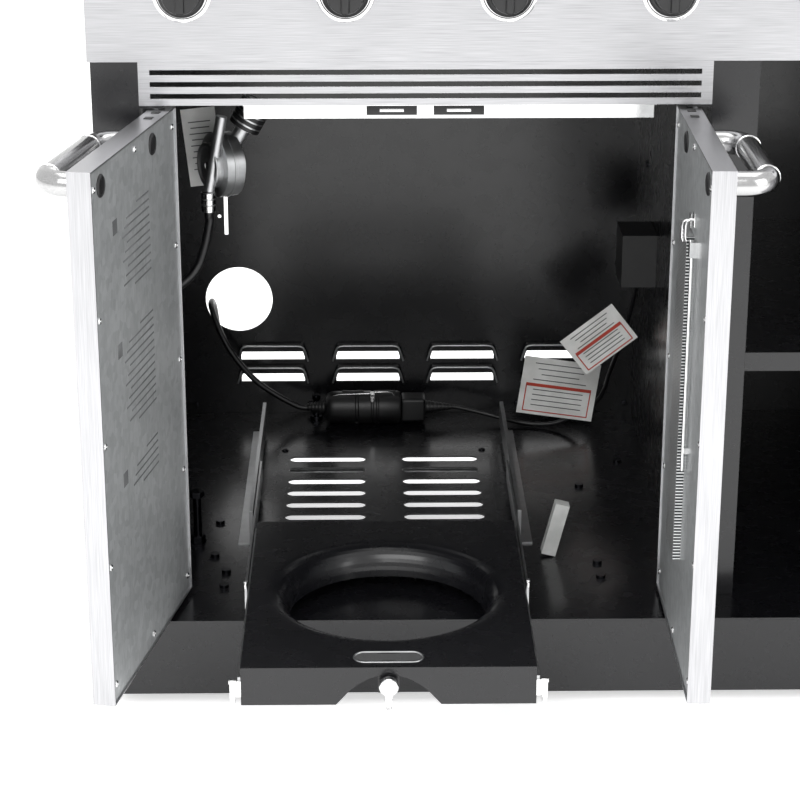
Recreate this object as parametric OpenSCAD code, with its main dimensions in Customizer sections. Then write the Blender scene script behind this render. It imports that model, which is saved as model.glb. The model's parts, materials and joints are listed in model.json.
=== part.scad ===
// Gas barbecue grill on a two-bay cabinet cart, drawn at rest:
// doors open, cylinder tray pulled out, hood closed. Front faces -Y, up is +Z.

/* [Cart] */
// Width of the cart, outside
cart_w = 1078; // [1000:1:1250]
// Depth of the cabinet, door face to inside of the back panel
cart_d = 616; // [580:1:740]
// Height of the doorway from the cabinet floor to the top of the cabinet
cabinet_h = 618; // [560:1:742]
// Width of the wide doorway
bay_w = 607; // [560:1:640]
// Width of each upright post
post_w = 50; // [42:1:60]
// Height of the base skirt
skirt_h = 88; // [73:1:100]
// Distance the skirt stands out in front of the doors
skirt_out = 62; // [52:1:75]
// Height of the louvre grille above the doors
louver_h = 47; // [40:1:56]

/* [Doors] */
// Thickness of a door
door_t = 24; // [20:1:28]
// Resting angle of the left door
left_open = 101; // [85:1:105]
// Resting angle of the right door
right_open = 89; // [80:1:105]
// Resting angle of the narrow door
narrow_open = 101; // [85:1:105]
// Diameter of the handle tube
handle_d = 25; // [20:1:30]
// Distance a door handle stands out
handle_reach = 50; // [46:1:60]

/* [Cylinder tray] */
// Width of the tray
tray_w = 303; // [255:1:310]
// Length of the tray, front to back
tray_l = 385; // [345:1:395]
// Height of the tray
tray_h = 42; // [36:1:50]
// Travel of the tray
tray_travel = 430; // [360:1:440]
// Diameter of the hole for the cylinder foot ring
ring_d = 218; // [182:1:240]

/* [Cooking head] */
// Height of the control panel
panel_h = 145; // [135:1:174]
// Height of the hood
hood_h = 300; // [250:1:360]
// Diameter of a control knob
knob_d = 50; // [42:1:60]
// Diameter of a burner tube
burner_d = 32; // [27:1:36]

/* [Wheels] */
// Diameter of a wheel
wheel_d = 75; // [62:1:90]

/* [Hidden] */
$fn = 48;

// sheet metal and general fits
sheet = 2;
gap = 3;          // gap round a door
run_fit = 0.05;   // radial clearance of a turning pin
over = 1;         // how far a cutter passes a face

// heights
floor_z = wheel_d + 28;                  // underside of the floor panel
wheel_drop = floor_z - skirt_h;          // ground to the lower edge of the skirt
deck_z = floor_z + sheet;                // cabinet floor
top_z = deck_z + cabinet_h;              // top of the cabinet
door_bottom = deck_z + 6;
door_top = top_z - louver_h - 4;
panel_top = top_z + panel_h;
back_y = cart_d;                         // inner face of the back panel
out_y = cart_d + sheet;

// widths
left_x = -cart_w / 2;
right_x = cart_w / 2;
bay_l = left_x + post_w;
bay_r = bay_l + bay_w;
mid_r = bay_r + post_w;
nar_r = right_x - post_w;
bay_c = (bay_l + bay_r) / 2;
door_w = (bay_w - 3 * gap) / 2;
narrow_w = nar_r - mid_r - 2 * gap;

// hinges
pivot_in = 14;    // hinge edge of a door to its pin
pivot_back = 6;   // door face to the pin
pin_r = 4;
tab_t = 3;        // hinge tab thickness
tab_gap = 1;      // between door and tab
left_px = bay_l + gap + pivot_in;
right_px = bay_r - gap - pivot_in;
narrow_px = nar_r - gap - pivot_in;

// tray and slides
tray_x = bay_c - 43;
tray_half = tray_w / 2;
tray_bottom = deck_z + 8;
tray_top = tray_bottom + tray_h;
tray_in_y = 150;                         // front of the tray when pushed in
tray_y = tray_in_y - tray_travel;        // front of the tray at rest
slide_t = 2.6;
slide_air = 1;
slide_fit = 0.4;                         // taken up between the tray and its slides
slide_h = 30;
slide_z = tray_bottom + 6;
lip_r = 26;                              // width of the rolled lip round the hole

// moves the resting grill so that the middle of its box stands on the origin
seat_x = (handle_side(door_w, left_open) - handle_side(narrow_w, narrow_open)) / 2;
seat_y = (14 - tray_y - out_y) / 2;

// how far the handle of an open door reaches sideways past its pin
function handle_side(w, a) =
    -cos(a) * (w - 22 - pivot_in - 1.5 * handle_d)
    + sin(a) * (pivot_back + handle_reach - 1.5 * handle_d) + 1.5 * handle_d;

// cooking head
head_l = left_x + 14;
head_r = mid_r - 13;
head_c = (head_l + head_r) / 2;
box_y = 100;
box_back = 560;
box_z = top_z + 37;
box_top = panel_top + 37;
grate_z = box_top - 17;
tamer_h = 20;
tamer_z = grate_z - 6 - tamer_h;         // lower edges of the flame tamers
burn_z = tamer_z - 16 - burner_d / 2;    // middle of the burner tubes
knob_z = top_z + panel_h / 2;
pipe_y = 65;
pitch = (head_r - head_l) / 4;
side_c = (mid_r + right_x) / 2;

module slab(x0, x1, y0, y1, z0, z1) {
    translate([x0, y0, z0])
        cube([x1 - x0, y1 - y0, z1 - z0]);
}

module rod_x(x0, x1, y, z, r) {
    translate([x0, y, z])
        rotate([0, 90, 0])
            cylinder(h = x1 - x0, r = r);
}

module rod_y(x, y0, y1, z, r) {
    translate([x, y0, z])
        rotate([-90, 0, 0])
            cylinder(h = y1 - y0, r = r);
}

module rod_z(x, y, z0, z1, r) {
    translate([x, y, z0])
        cylinder(h = z1 - z0, r = r);
}

module seat() {
    translate([seat_x, seat_y, 0])
        children();
}

// turns its children about an upright pin
module swing(px, angle) {
    translate([px, pivot_back, 0])
        rotate([0, 0, angle])
            translate([-px, -pivot_back, 0])
                children();
}

// ---- cart ----

// front and sides of the base, open at the back but for a rail
module base_skirt() color("#151515") seat() {
    fy = -skirt_out;
    difference() {
        slab(left_x, right_x, fy, out_y, wheel_drop, floor_z);
        slab(left_x + sheet, right_x - sheet, fy + sheet, out_y - sheet, wheel_drop - over, floor_z + over);
        slab(left_x + sheet, right_x - sheet, out_y - 2 * sheet, out_y + over,
            wheel_drop - over, floor_z - 18);
    }
}

vent_w = 280;
vent_y = 160;
vent_l = 315;
slot_l = 100;
slot_w = 18;
slot_step = 39.6;
slot_y = 233;
slot_x = 74;      // tray centre line to the middle of a slot

module floor_panel() color("#101010") seat() {
    difference() {
        slab(left_x, right_x, -skirt_out, out_y, floor_z, deck_z);
        slab(tray_x - 130, tray_x + 130, vent_y + 40, vent_y + vent_l - 25, floor_z - over, deck_z + over);
    }
}

module bolt(x, y, r = 5.5) {
    rod_z(x, y, deck_z, deck_z + 4, r);
}

module floor_bolts() color("#8f9296") seat() {
    for (p = [[-432, 220], [-432, 118], [-416, 72], [-416, 30]])
        bolt(p[0], p[1]);
    for (p = [[22, 335], [-12, 235], [22, 92], [22, 50], [80, 420]])
        bolt(p[0], p[1]);
    // tall bolt with a nut at its foot
    translate([-455, 160, deck_z])
        cylinder(h = 10, r = 9, $fn = 6);
    rod_z(-455, 160, deck_z + 10, deck_z + 60, 5);
    translate([-455, 160, deck_z + 60])
        cylinder(h = 7, r = 9, $fn = 6);
}

module vent_plate() color("#121212") seat() {
    difference() {
        slab(tray_x - vent_w / 2, tray_x + vent_w / 2, vent_y, vent_y + vent_l, deck_z, deck_z + sheet);
        for (i = [0 : 5], s = [-1, 1])
            translate([tray_x + s * slot_x, slot_y + i * slot_step, deck_z - over])
                linear_extrude(sheet + 2 * over) {
                    square([slot_l - slot_w, slot_w], center = true);
                    for (e = [-1, 1])
                        translate([e * (slot_l - slot_w) / 2, 0])
                            circle(d = slot_w);
                }
    }
}

// a pair of hinge tabs with pin holes, reaching from a post face
module hinge_tabs(px, face, top) {
    x0 = min(px - 9, face);
    x1 = max(px + 9, face);
    for (z = [door_bottom - tab_gap - tab_t, top + tab_gap])
        difference() {
            slab(x0, x1, 0, 15, z, z + tab_t);
            rod_z(px, pivot_back, z - over, z + tab_t + over, pin_r + run_fit);
        }
}

module side_left() color("#141414") seat() {
    slab(left_x, left_x + sheet, 0, out_y, deck_z, top_z);
    slab(left_x + sheet, bay_l, 0, sheet, deck_z, top_z);
    slab(bay_l - sheet, bay_l, sheet, 40, deck_z, top_z);
    hinge_tabs(left_px, bay_l, door_top);
}

module side_right() color("#141414") seat() {
    slab(right_x - sheet, right_x, 0, out_y, deck_z, top_z);
    slab(nar_r, right_x - sheet, 0, sheet, deck_z, top_z);
    slab(nar_r, nar_r + sheet, sheet, 40, deck_z, top_z);
    hinge_tabs(narrow_px, nar_r, narrow_top);
}

narrow_top = top_z - 8;

module divider() color("#141414") seat() {
    slab(bay_r, bay_r + sheet, 0, cart_d, deck_z, top_z);
    slab(bay_r + sheet, mid_r, 0, sheet, deck_z, top_z);
    slab(mid_r - sheet, mid_r, sheet, 40, deck_z, top_z);
    hinge_tabs(right_px, bay_r, door_top);
}

hole_x = -426;
hole_z = 272;
hole_r = 46;
louvre_w = 100;
louvre_h = 20;
louvre_x = [-381, -249, -118, 13];
louvre_z = [152, 184];

// one pressed hood over a vent slot
module louvre_hood() {
    rotate([90, 0, 0])
        linear_extrude(9)
            difference() {
                polygon([[-50, 0], [50, 0], [42, 22], [-42, 22]]);
                polygon([[-47, -over], [47, -over], [40, 20], [-40, 20]]);
            }
    translate([0, -9, 0])
        rotate([90, 0, 0])
            linear_extrude(1)
                polygon([[-44.7, 15], [44.7, 15], [42, 22], [-42, 22]]);
}

module back_panel() color("#0e0e0e") seat() {
    difference() {
        slab(left_x + sheet, right_x - sheet, back_y, out_y, deck_z, top_z);
        rod_y(hole_x, back_y - over, out_y + over, hole_z, hole_r);
        for (x = louvre_x, z = louvre_z)
            slab(x - 44, x + 44, back_y - over, out_y + over, z, z + louvre_h - 5);
        slab(-443.5, -438.5, back_y - over, out_y + over, 364, 426);
        for (z = [390, 423])
            rod_y(-450, back_y - over, out_y + over, z, 2.5);
    }
    for (x = louvre_x, z = louvre_z)
        translate([x, back_y, z])
            louvre_hood();
}

module louver_panel() color("#b9bbbd") seat() {
    z0 = top_z - louver_h;
    bar = louver_h / 6.5;
    difference() {
        slab(bay_l, bay_r, 0, 14, z0, top_z);
        slab(bay_l + sheet, bay_r - sheet, sheet, 14 + over, z0 + sheet, top_z - sheet);
        for (i = [0 : 2])
            slab(bay_l + 12, bay_r - 12, -over, sheet + over,
                z0 + bar * (1 + 1.75 * i), z0 + bar * (1.75 + 1.75 * i));
    }
}

module magnet_bracket() color("#c4c6c8") seat() {
    z0 = top_z - louver_h;
    slab(-380, 60, 6, 32, z0 - sheet, z0);
    slab(-380, 60, 26, 28, z0 - 20, z0 - sheet);
    for (x = [-1, 1])
        slab(bay_c + x * 36 - 27, bay_c + x * 36 + 27, 25, 26, z0 - 16, z0 - 6);
}

// ---- control panel, gas train ----

knob_xs = [for (i = [0 : 3]) head_l + pitch * (i + 0.5)];
side_knob_x = side_c;
all_knobs = concat(knob_xs, [side_knob_x]);
button_x = (knob_xs[3] + side_knob_x) / 2;
face_y = -3;
shaft_r = 4;
valve_y = 14;

module control_panel() color("#b8babc") seat() {
    difference() {
        slab(left_x - 3, right_x + 3, face_y, box_y - 5, top_z, panel_top);
        slab(left_x - 1, right_x + 1, face_y + sheet, box_y, top_z + 8, panel_top - sheet);
        slab(left_x - 1, right_x + 1, face_y + sheet, box_y, top_z - over, top_z + 9);
        for (x = all_knobs)
            rod_y(x, face_y - over, face_y + sheet + over, knob_z, 8);
        rod_y(button_x, face_y - over, face_y + sheet + over, knob_z, 9 + run_fit);
    }
}

module knob(i) color("#1b1b1c") seat() {
    x = all_knobs[i - 1];
    y1 = face_y - 1.5;
    rod_y(x, y1 - 8, y1, knob_z, knob_d / 2);
    rod_y(x, y1 - 27, y1 - 8, knob_z, knob_d / 2 - 5);
    slab(x - 4, x + 4, y1 - 32, y1 - 27, knob_z - knob_d / 2 + 6, knob_z + knob_d / 2 - 6);
    rod_y(x, y1, valve_y + 18, knob_z, shaft_r);
}

module knob_1() knob(1);
module knob_2() knob(2);
module knob_3() knob(3);
module knob_4() knob(4);
module knob_5() knob(5);

pipe_r = 10;

module valve(x) {
    difference() {
        rod_y(x, valve_y, pipe_y - pipe_r + 1, knob_z, 12);
        rod_y(x, valve_y - over, valve_y + 20, knob_z, shaft_r + run_fit);
    }
    rod_z(x, 44, knob_z + 10, burn_z, 6);
    rod_y(x, 38, box_y - 2, burn_z, 5);
}

module manifold() color("#9a9c9f") seat() {
    difference() {
        rod_x(left_x + 55, side_knob_x + 25, pipe_y, knob_z, pipe_r);
        rod_x(left_x + 54, side_knob_x + 15, pipe_y, knob_z, pipe_r - 2);
    }
    for (x = all_knobs)
        valve(x);
}

module igniter_button() color("#202022") seat() {
    rod_y(button_x, face_y - 9, face_y - 5, knob_z, 12);
    rod_y(button_x, face_y - 5, face_y + 22, knob_z, 9);
}

// ---- cook box and what it holds ----

module cook_box() color("#2a2b2c") seat() {
    difference() {
        slab(head_l, head_r, box_y, box_back, box_z, box_top);
        slab(head_l + 3, head_r - 3, box_y + 3, box_back - 3, box_z + 3, box_top + over);
        for (x = knob_xs)
            rod_y(x, box_y - over, box_y + 3 + over, burn_z, burner_d / 2 + 0.5);
        slab(head_c - 220, head_c + 220, 220, 460, box_z - over, box_z + 3 + over);
        for (x = [head_l, head_r - 3])
            rod_x(x - over, x + 3 + over, hood_py, hood_pz, hood_pin + run_fit);
    }
    // ledges for the flame tamers and the grates
    for (z = [tamer_z - 3, grate_z - 3], y = [box_y + 3, box_back - 15])
        slab(head_l + 3, head_r - 3, y, y + 12, z, z + 3);
    // end frames standing on the cabinet
    slab(head_l, head_l + 3, box_y, box_back, top_z + 3, box_z);
    slab(head_r - 3, head_r, box_y, box_back, top_z + 3, box_z);
    slab(left_x, head_l + 3, box_y, box_back, top_z, top_z + 3);
    slab(head_r - 3, mid_r, box_y, box_back, top_z, top_z + 3);
    // runners for the grease tray
    for (s = [-1, 1]) {
        slab(head_c + s * 243 - 1, head_c + s * 243 + 1, 200, 545, box_z - 24, box_z);
        slab(head_c + s * 236 - 8, head_c + s * 236 + 8, 200, 545, box_z - 26, box_z - 24);
    }
}

hood_py = box_back - 25;
hood_pz = box_top - 17;
hood_pin = 5;

module burners() color("#8c8a86") seat() {
    for (x = knob_xs) {
        difference() {
            rod_y(x, box_y - 6, box_back - 40, burn_z, burner_d / 2);
            rod_y(x, box_y - 7, box_back - 43, burn_z, burner_d / 2 - 2);
        }
        slab(x - 8, x + 8, box_back - 41, box_back - 3, burn_z - 2, burn_z);
    }
}

module flame_tamers() color("#a3a19c") seat() {
    w = pitch / 2 - 22;
    for (x = knob_xs)
        translate([x, box_back - 3.5, tamer_z])
            rotate([90, 0, 0])
                linear_extrude(box_back - box_y - 7)
                    polygon([[-w, 0], [-w + 3, 0], [0, tamer_h - 3], [w - 3, 0], [w, 0], [0, tamer_h]]);
}

module grates() color("#232323") seat() {
    half = (head_r - head_l - 14) / 2;
    n = 13;
    step = (half - 12) / n;
    for (s = [0, 1])
        translate([head_l + 6 + s * (half + 2), 0, 0]) {
            for (y = [box_y + 4, box_back - 14])
                slab(0, half, y, y + 10, grate_z, grate_z + 12);
            for (i = [0 : n])
                slab(i * step, i * step + 10, box_y + 14, box_back - 14, grate_z, grate_z + 12);
        }
}

module grease_tray() color("#77797b") seat() {
    difference() {
        slab(head_c - 241, head_c + 241, 202, 580, box_z - 23.6, box_z - 4);
        slab(head_c - 239, head_c + 239, 204, 578, box_z - 22, box_z);
    }
    slab(head_c - 60, head_c + 60, 580, 600, box_z - 8, box_z - 6);
}

// ---- hood ----

hood_l = head_l - 7;
hood_r = head_r + 7;
hood_y0 = 70;
hood_y1 = box_back + 15;
hood_z0 = panel_top + 3;
hood_z1 = hood_z0 + hood_h;
hood_front = hood_h * 0.45;      // radius of the front curve
hood_rear = hood_h * 0.2;        // radius of the rear curve

// outline of the hood seen from its end, drawn inwards by g, with its lower edge at z
module hood_outline(g, z) {
    fy = hood_y0 + hood_front;
    ry = hood_y1 - hood_rear;
    translate([fy, hood_z1 - hood_front])
        circle(r = hood_front - g, $fn = 120);
    translate([ry, hood_z1 - hood_rear])
        circle(r = hood_rear - g, $fn = 120);
    translate([hood_y0 + g, z])
        square([hood_front - g, hood_z1 - hood_front - z]);
    translate([fy, z])
        square([ry - fy, hood_z1 - g - z]);
    translate([ry, z])
        square([hood_rear - g, hood_z1 - hood_rear - z]);
}

module hood_block(x0, x1, g, z) {
    translate([x0, 0, 0])
        rotate([90, 0, 90])
            linear_extrude(x1 - x0)
                hood_outline(g, z);
}

module hood() color("#bdbfc1") seat() {
    difference() {
        hood_block(hood_l, hood_r, 0, hood_z0);
        hood_block(hood_l + sheet, hood_r - sheet, sheet, hood_z0 - over);
        slab(hood_l + sheet, hood_r - sheet, hood_y1 - 20, hood_y1 + over, hood_z0 - over, hood_z0 + 80);
    }
    for (x = [hood_l + sheet, hood_r - sheet - 9])
        rod_x(x, x + 9, hood_py, hood_pz, hood_pin);
}

module bar_handle(x0, x1, y, z, d, reach) {
    r = d / 2;
    bend = d;
    ya = y - reach + r;
    rod_x(x0 + r + bend, x1 - r - bend, ya, z, r);
    for (s = [0, 1])
        translate([s == 0 ? x0 + r + bend : x1 - r - bend, ya + bend, z])
            mirror([s, 0, 0])
                rotate([0, 0, 180])
                    rotate_extrude(angle = 90, $fn = 64)
                        translate([bend, 0])
                            circle(r = r);
    for (x = [x0 + r, x1 - r])
        if (ya + bend < y)
            rod_y(x, ya + bend, y, z, r);
}

module hood_handle() color("#c9cbcd") seat() {
    bar_handle(head_c - 270, head_c + 270, hood_y0, hood_z0 + 60, 22, 60);
}

// ---- side burner ----

deck_top = panel_top + 10;
side_l = mid_r + 4;
side_r = right_x + 3;
well_r = 105;
well_y = 300;
well_z = burn_z + 14;

module side_deck() color("#b6b8ba") seat() {
    difference() {
        slab(side_l, side_r, box_y - 5, cart_d - 20, top_z, deck_top);
        slab(side_l + sheet, side_r - sheet, box_y - 3, cart_d - 22, top_z - over, deck_top - sheet);
        rod_z(side_c, well_y, deck_top - sheet - over, deck_top + over, well_r);
        rod_y(side_knob_x, box_y - 6, box_y - 2, burn_z, 12);
    }
    difference() {
        rod_z(side_c, well_y, well_z - sheet, deck_top - sheet, well_r + 3);
        rod_z(side_c, well_y, well_z, deck_top, well_r);
        rod_z(side_c, well_y, well_z - 3, deck_top, 14);
    }
    lid_ears();
}

module side_burner() color("#a98a4c") seat() {
    rod_z(side_c, well_y, well_z, deck_top - 22, 32);
    rod_z(side_c, well_y, deck_top - 22, deck_top - 15, 44);
    rod_z(side_c, well_y, burn_z - 10, well_z, 12);
    difference() {
        rod_y(side_c, box_y - 6, well_y, burn_z, 10);
        rod_y(side_c, box_y - 7, well_y - 20, burn_z, 8);
    }
}

module side_grate() color("#202020") seat() {
    for (s = [-1, 1]) {
        slab(side_c - 125, side_c + 125, well_y + s * 60 - 4, well_y + s * 60 + 4, deck_top, deck_top + 10);
        slab(side_c + s * 60 - 4, side_c + s * 60 + 4, well_y - 125, well_y - 64, deck_top, deck_top + 10);
        slab(side_c + s * 60 - 4, side_c + s * 60 + 4, well_y - 56, well_y + 56, deck_top, deck_top + 10);
        slab(side_c + s * 60 - 4, side_c + s * 60 + 4, well_y + 64, well_y + 125, deck_top, deck_top + 10);
    }
}

lid_y1 = cart_d - 35;
lid_z = deck_top + 2;
lid_py = lid_y1 - 4;
lid_pz = deck_top + 12;
lid_pin = 3;

module side_lid() color("#bcbec0") seat() {
    x0 = side_l + 12;
    x1 = side_r - 12;
    difference() {
        slab(x0, x1, box_y + 20, lid_y1, lid_z, lid_z + 48);
        slab(x0 + sheet, x1 - sheet, box_y + 22, lid_y1 - sheet, lid_z - over, lid_z + 46);
        for (x = [x0 + sheet, x1 - sheet - 9])
            slab(x, x + 9, lid_y1 - sheet - over, lid_y1 + over, lid_z - over, lid_pz + 10);
    }
    for (x = [x0 + 1, x1 - 9])
        rod_x(x, x + 8, lid_py, lid_pz, lid_pin);
}

// upright ears on the deck that carry the lid pins
module lid_ears() {
    for (x = [side_l + 16, side_r - 20])
        difference() {
            union() {
                slab(x, x + 4, lid_py - 6, lid_py + 6, deck_top, lid_pz);
                rod_x(x, x + 4, lid_py, lid_pz, 6);
            }
            rod_x(x - over, x + 5, lid_py, lid_pz, lid_pin + run_fit);
        }
}

// ---- doors ----

shell_t = 1.5;

// door shell, open towards the cabinet, with its two hinge pins
module door_pan(x0, x1, top, px) {
    difference() {
        slab(x0, x1, 0, door_t, door_bottom, top);
        slab(x0 + shell_t, x1 - shell_t, shell_t, door_t + over, door_bottom + shell_t, top - shell_t);
    }
    rod_z(px, pivot_back, door_bottom - tab_gap - tab_t, door_bottom + 18, pin_r);
    rod_z(px, pivot_back, top - 18, top + tab_gap + tab_t - 0.5, pin_r);
}

// inner face of a door, with a screw hole behind each end of the handle
module door_liner(x0, x1, top, hx0, hx1, hz) {
    difference() {
        slab(x0 + shell_t, x1 - shell_t, door_t - 4, door_t - 2, door_bottom + shell_t, top - shell_t);
        for (x = [hx0, hx1])
            rod_y(x, door_t - 5, door_t, hz, 7);
    }
}

l0 = bay_l + gap;
l1 = l0 + door_w;
r0 = bay_r - gap - door_w;
grip_z = door_top - 21;

hr = handle_d / 2;

// the right door is the left one mirrored across the doorway
module other_hand() {
    translate([bay_l + bay_r, 0, 0])
        mirror([1, 0, 0])
            children();
}

module wide_door() door_pan(l0, l1, door_top, left_px);
module wide_liner() door_liner(l0, l1, door_top, l0 + 75 + hr, l1 - 22 - hr, grip_z);
module wide_handle() bar_handle(l0 + 75, l1 - 22, 0, grip_z, handle_d, handle_reach);

module door_left() color("#b4b6b8") seat() swing(left_px, -left_open) wide_door();
module liner_left() color("#a9aaab") seat() swing(left_px, -left_open) wide_liner();
module handle_left() color("#c6c8ca") seat() swing(left_px, -left_open) wide_handle();

module door_right() color("#b4b6b8") seat() other_hand() swing(left_px, -right_open) wide_door();
module liner_right() color("#a9aaab") seat() other_hand() swing(left_px, -right_open) wide_liner();
module handle_right() color("#c6c8ca") seat() other_hand() swing(left_px, -right_open) wide_handle();

// perforated strip pocket on the right liner
module door_pocket() color("#c2c4c6") seat() swing(right_px, right_open) {
    y0 = door_t - 2;
    difference() {
        slab(r0 + 120, r0 + 186, y0, y0 + 8, 220, 575);
        slab(r0 + 122, r0 + 184, y0 - over, y0 + 6.5, 222, 573);
    }
}

// long-reach lighter rod hung beside the pocket
module lighter() color("#d0d0d2") seat() swing(right_px, right_open) {
    y0 = door_t - 2;
    rod_z(r0 + 98, y0 + 5, 330, 560, 2);
    slab(r0 + 92, r0 + 104, y0, y0 + 8, 560, 576);
    slab(r0 + 94, r0 + 102, y0, y0 + 5, 350, 356);
}

// the narrow door, drawn from its hinge edge in the other hand
module narrow_side() {
    translate([narrow_px * 2, 0, 0])
        mirror([1, 0, 0])
            swing(narrow_px, -narrow_open)
                children();
}

m0 = narrow_px - pivot_in;
m1 = m0 + narrow_w;

module door_bay2() color("#b4b6b8") seat() narrow_side() {
    door_pan(m0, m1, narrow_top, narrow_px);
    door_liner(m0, m1, narrow_top, m0 + 75 + hr, m1 - 22 - hr, narrow_top - 73);
}

module handle_bay2() color("#c6c8ca") seat() narrow_side()
    bar_handle(m0 + 75, m1 - 22, 0, narrow_top - 73, handle_d, handle_reach);

module shelf() color("#1c1c1c") seat() {
    z = deck_z + cabinet_h * 0.45;
    slab(bay_r + sheet, right_x - sheet, 44, cart_d, z - 2, z);
    slab(bay_r + sheet, right_x - sheet, 44, 46, z - 22, z - 2);
}

// ---- cylinder tray and its slides ----

ring_y = tray_y + tray_l / 2;
ring_r = ring_d / 2;
lip = min(lip_r, tray_half - ring_r - 8);

// rolled lip round the foot-ring hole
module tray_lip() {
    steps = [0 : 10 : 90];
    outer = [for (a = steps) [ring_r + lip - lip * sin(a), -lip + lip * cos(a)]];
    inner = [for (a = steps) [ring_r + lip - (lip - 2) * sin(a), -lip + (lip - 2) * cos(a)]];
    back = [for (i = [len(inner) - 1 : -1 : 0]) inner[i]];
    translate([tray_x, ring_y, tray_top])
        rotate_extrude($fn = 96)
            polygon(concat(outer, [[ring_r, -lip - 8], [ring_r + 2, -lip - 8]], back));
}

module tray() color("#131314") seat() {
    y1 = tray_y + tray_l;
    difference() {
        slab(tray_x - tray_half, tray_x + tray_half, tray_y, y1, tray_bottom, tray_top);
        slab(tray_x - tray_half + sheet, tray_x + tray_half - sheet, tray_y + sheet, y1 - sheet,
            tray_bottom - over, tray_top - sheet);
        rod_z(tray_x, ring_y, tray_top - 3, tray_top + over, ring_r + lip - 0.01, $fn = 96);
        // finger slot
        translate([tray_x, tray_y + 24, tray_top - 3])
            linear_extrude(5) {
                square([48, 24], center = true);
                for (e = [-24, 24])
                    translate([e, 0])
                        circle(d = 24);
            }
        // arched relief in the front
        translate([tray_x, tray_y + 3, 0])
            rotate([90, 0, 0])
                linear_extrude(4)
                    polygon(concat(
                        [[-54, tray_bottom - over], [-54, tray_bottom], [-40, tray_bottom + 16]],
                        [for (a = [-40 : 10 : 40]) [a, tray_top - 8 - 18 * (a / 40) * (a / 40)]],
                        [[54, tray_bottom], [54, tray_bottom - over]]
                    ));
    }
    tray_lip();
    // tab that holds the thumbscrew, and the latch behind it
    difference() {
        slab(tray_x - 11, tray_x + 11, tray_y + 3, tray_y + 7, tray_top - 30, tray_top - 2);
        rod_y(tray_x, tray_y + 2, tray_y + 8, tray_top - 17, 3 + run_fit);
    }
}

module thumbscrew() color("#d8dadc") seat() {
    z = tray_top - 17;
    rod_y(tray_x, tray_y - 8, tray_y + 12, z, 3);
    rod_y(tray_x, tray_y - 14, tray_y - 4, z, 10);
    slab(tray_x - 4, tray_x + 4, tray_y - 12, tray_y - 7, z - 30, z - 6);
}

// one slide member on each side, k counts outwards from the tray
module slide_pair(k, y0, y1) {
    for (s = [-1, 1])
        translate([tray_x + s * (tray_half + slide_fit + k * (slide_t + slide_air) + slide_t / 2),
            (y0 + y1) / 2, slide_z + slide_h / 2])
            cube([slide_t, y1 - y0, slide_h - 4 * (2 - k)], center = true);
}

slide_l = tray_l + 2;

module slides_inner() color("#b0b2b4") seat() {
    for (s = [-1, 1])
        translate([tray_x + s * (tray_half + (slide_t + slide_fit) / 2), tray_y + slide_l / 2,
            slide_z + slide_h / 2])
            cube([slide_t + slide_fit, slide_l, slide_h - 8], center = true);
}

module slides_middle() color("#a6a8aa") seat()
    slide_pair(1, tray_y + tray_travel / 2, tray_y + tray_travel / 2 + slide_l);

module slides_outer() color("#9b9da0") seat() {
    slide_pair(2, tray_in_y, tray_in_y + slide_l);
    half = tray_half + slide_fit + 3 * slide_t + 2 * slide_air;
    for (s = [-1, 1]) {
        translate([tray_x + s * (half + 1), tray_in_y + slide_l / 2, (deck_z + slide_z + slide_h) / 2])
            cube([2, slide_l, slide_z + slide_h - deck_z], center = true);
        translate([tray_x + s * (half + 9), tray_in_y + slide_l / 2, deck_z + 1])
            cube([14, slide_l, 2], center = true);
    }
}

// ---- regulator, hose and mains cable ----

reg_x = -414;
reg_y = 176;
reg_z = deck_z + 465;

outlet_x = reg_x - 16;
outlet_y = reg_y - 22;

module regulator() color("#b9bbbd") seat() {
    translate([reg_x, reg_y, reg_z]) {
        // body, its face turned towards the left door
        rotate([0, 0, -61]) {
            rod_y(0, -11, 11, 0, 37);
            rod_y(0, -18, -11, 0, 26);
            rod_y(0, 11, 18, 0, 24);
        }
        // inlet and its nut
        rotate([0, 30, 0]) {
            translate([0, 0, 20])
                cylinder(h = 32, r = 9);
            translate([0, 0, 50])
                cylinder(h = 34, r = 18);
        }
    }
    // outlet pipe across the body, down to the hose
    translate([outlet_x, outlet_y, reg_z - 30])
        rotate([0, 11, 0])
            cylinder(h = 92, r = 6.5);
    rod_z(outlet_x, outlet_y, reg_z - 50, reg_z - 27, 8);
}

function unit(v) = v / norm(v);

// Catmull-Rom point between b and c
function spline(a, b, c, d, t) =
    0.5 * ((2 * b) + (c - a) * t + (2 * a - 5 * b + 4 * c - d) * t * t + (3 * b - a - 3 * c + d) * t * t * t);

function smooth(p, n) = let (m = len(p) - 1) concat(
    [for (i = [0 : m - 1], k = [0 : n - 1])
        spline(p[max(i - 1, 0)], p[i], p[i + 1], p[min(i + 2, m)], k / n)],
    [p[m]]
);

// round cable swept along a route
module cable(route, r, n, sides) {
    p = smooth(route, n);
    m = len(p) - 1;
    t = [for (i = [0 : m]) unit(p[min(i + 1, m)] - p[max(i - 1, 0)])];
    first = unit(cross(t[0], abs(t[0][2]) > 0.9 ? [1, 0, 0] : [0, 0, 1]));
    u = [for (i = 0, w = first; i <= m; i = i + 1, w = i <= m ? unit(w - t[i] * (w * t[i])) : w) w];
    rings = [for (i = [0 : m], j = [0 : sides - 1])
        let (a = 360 * j / sides, v = cross(t[i], u[i]))
            p[i] + r * (cos(a) * u[i] + sin(a) * v)];
    walls = [for (i = [0 : m - 1], j = [0 : sides - 1])
        let (a = i * sides + j, b = i * sides + (j + 1) % sides)
            each [[a + sides, b + sides, b], [a + sides, b, a]]];
    polyhedron(
        points = rings,
        faces = concat(
            walls,
            [[for (j = [0 : sides - 1]) j]],
            [[for (j = [sides - 1 : -1 : 0]) m * sides + j]]
        ),
        convexity = 6
    );
}

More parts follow.
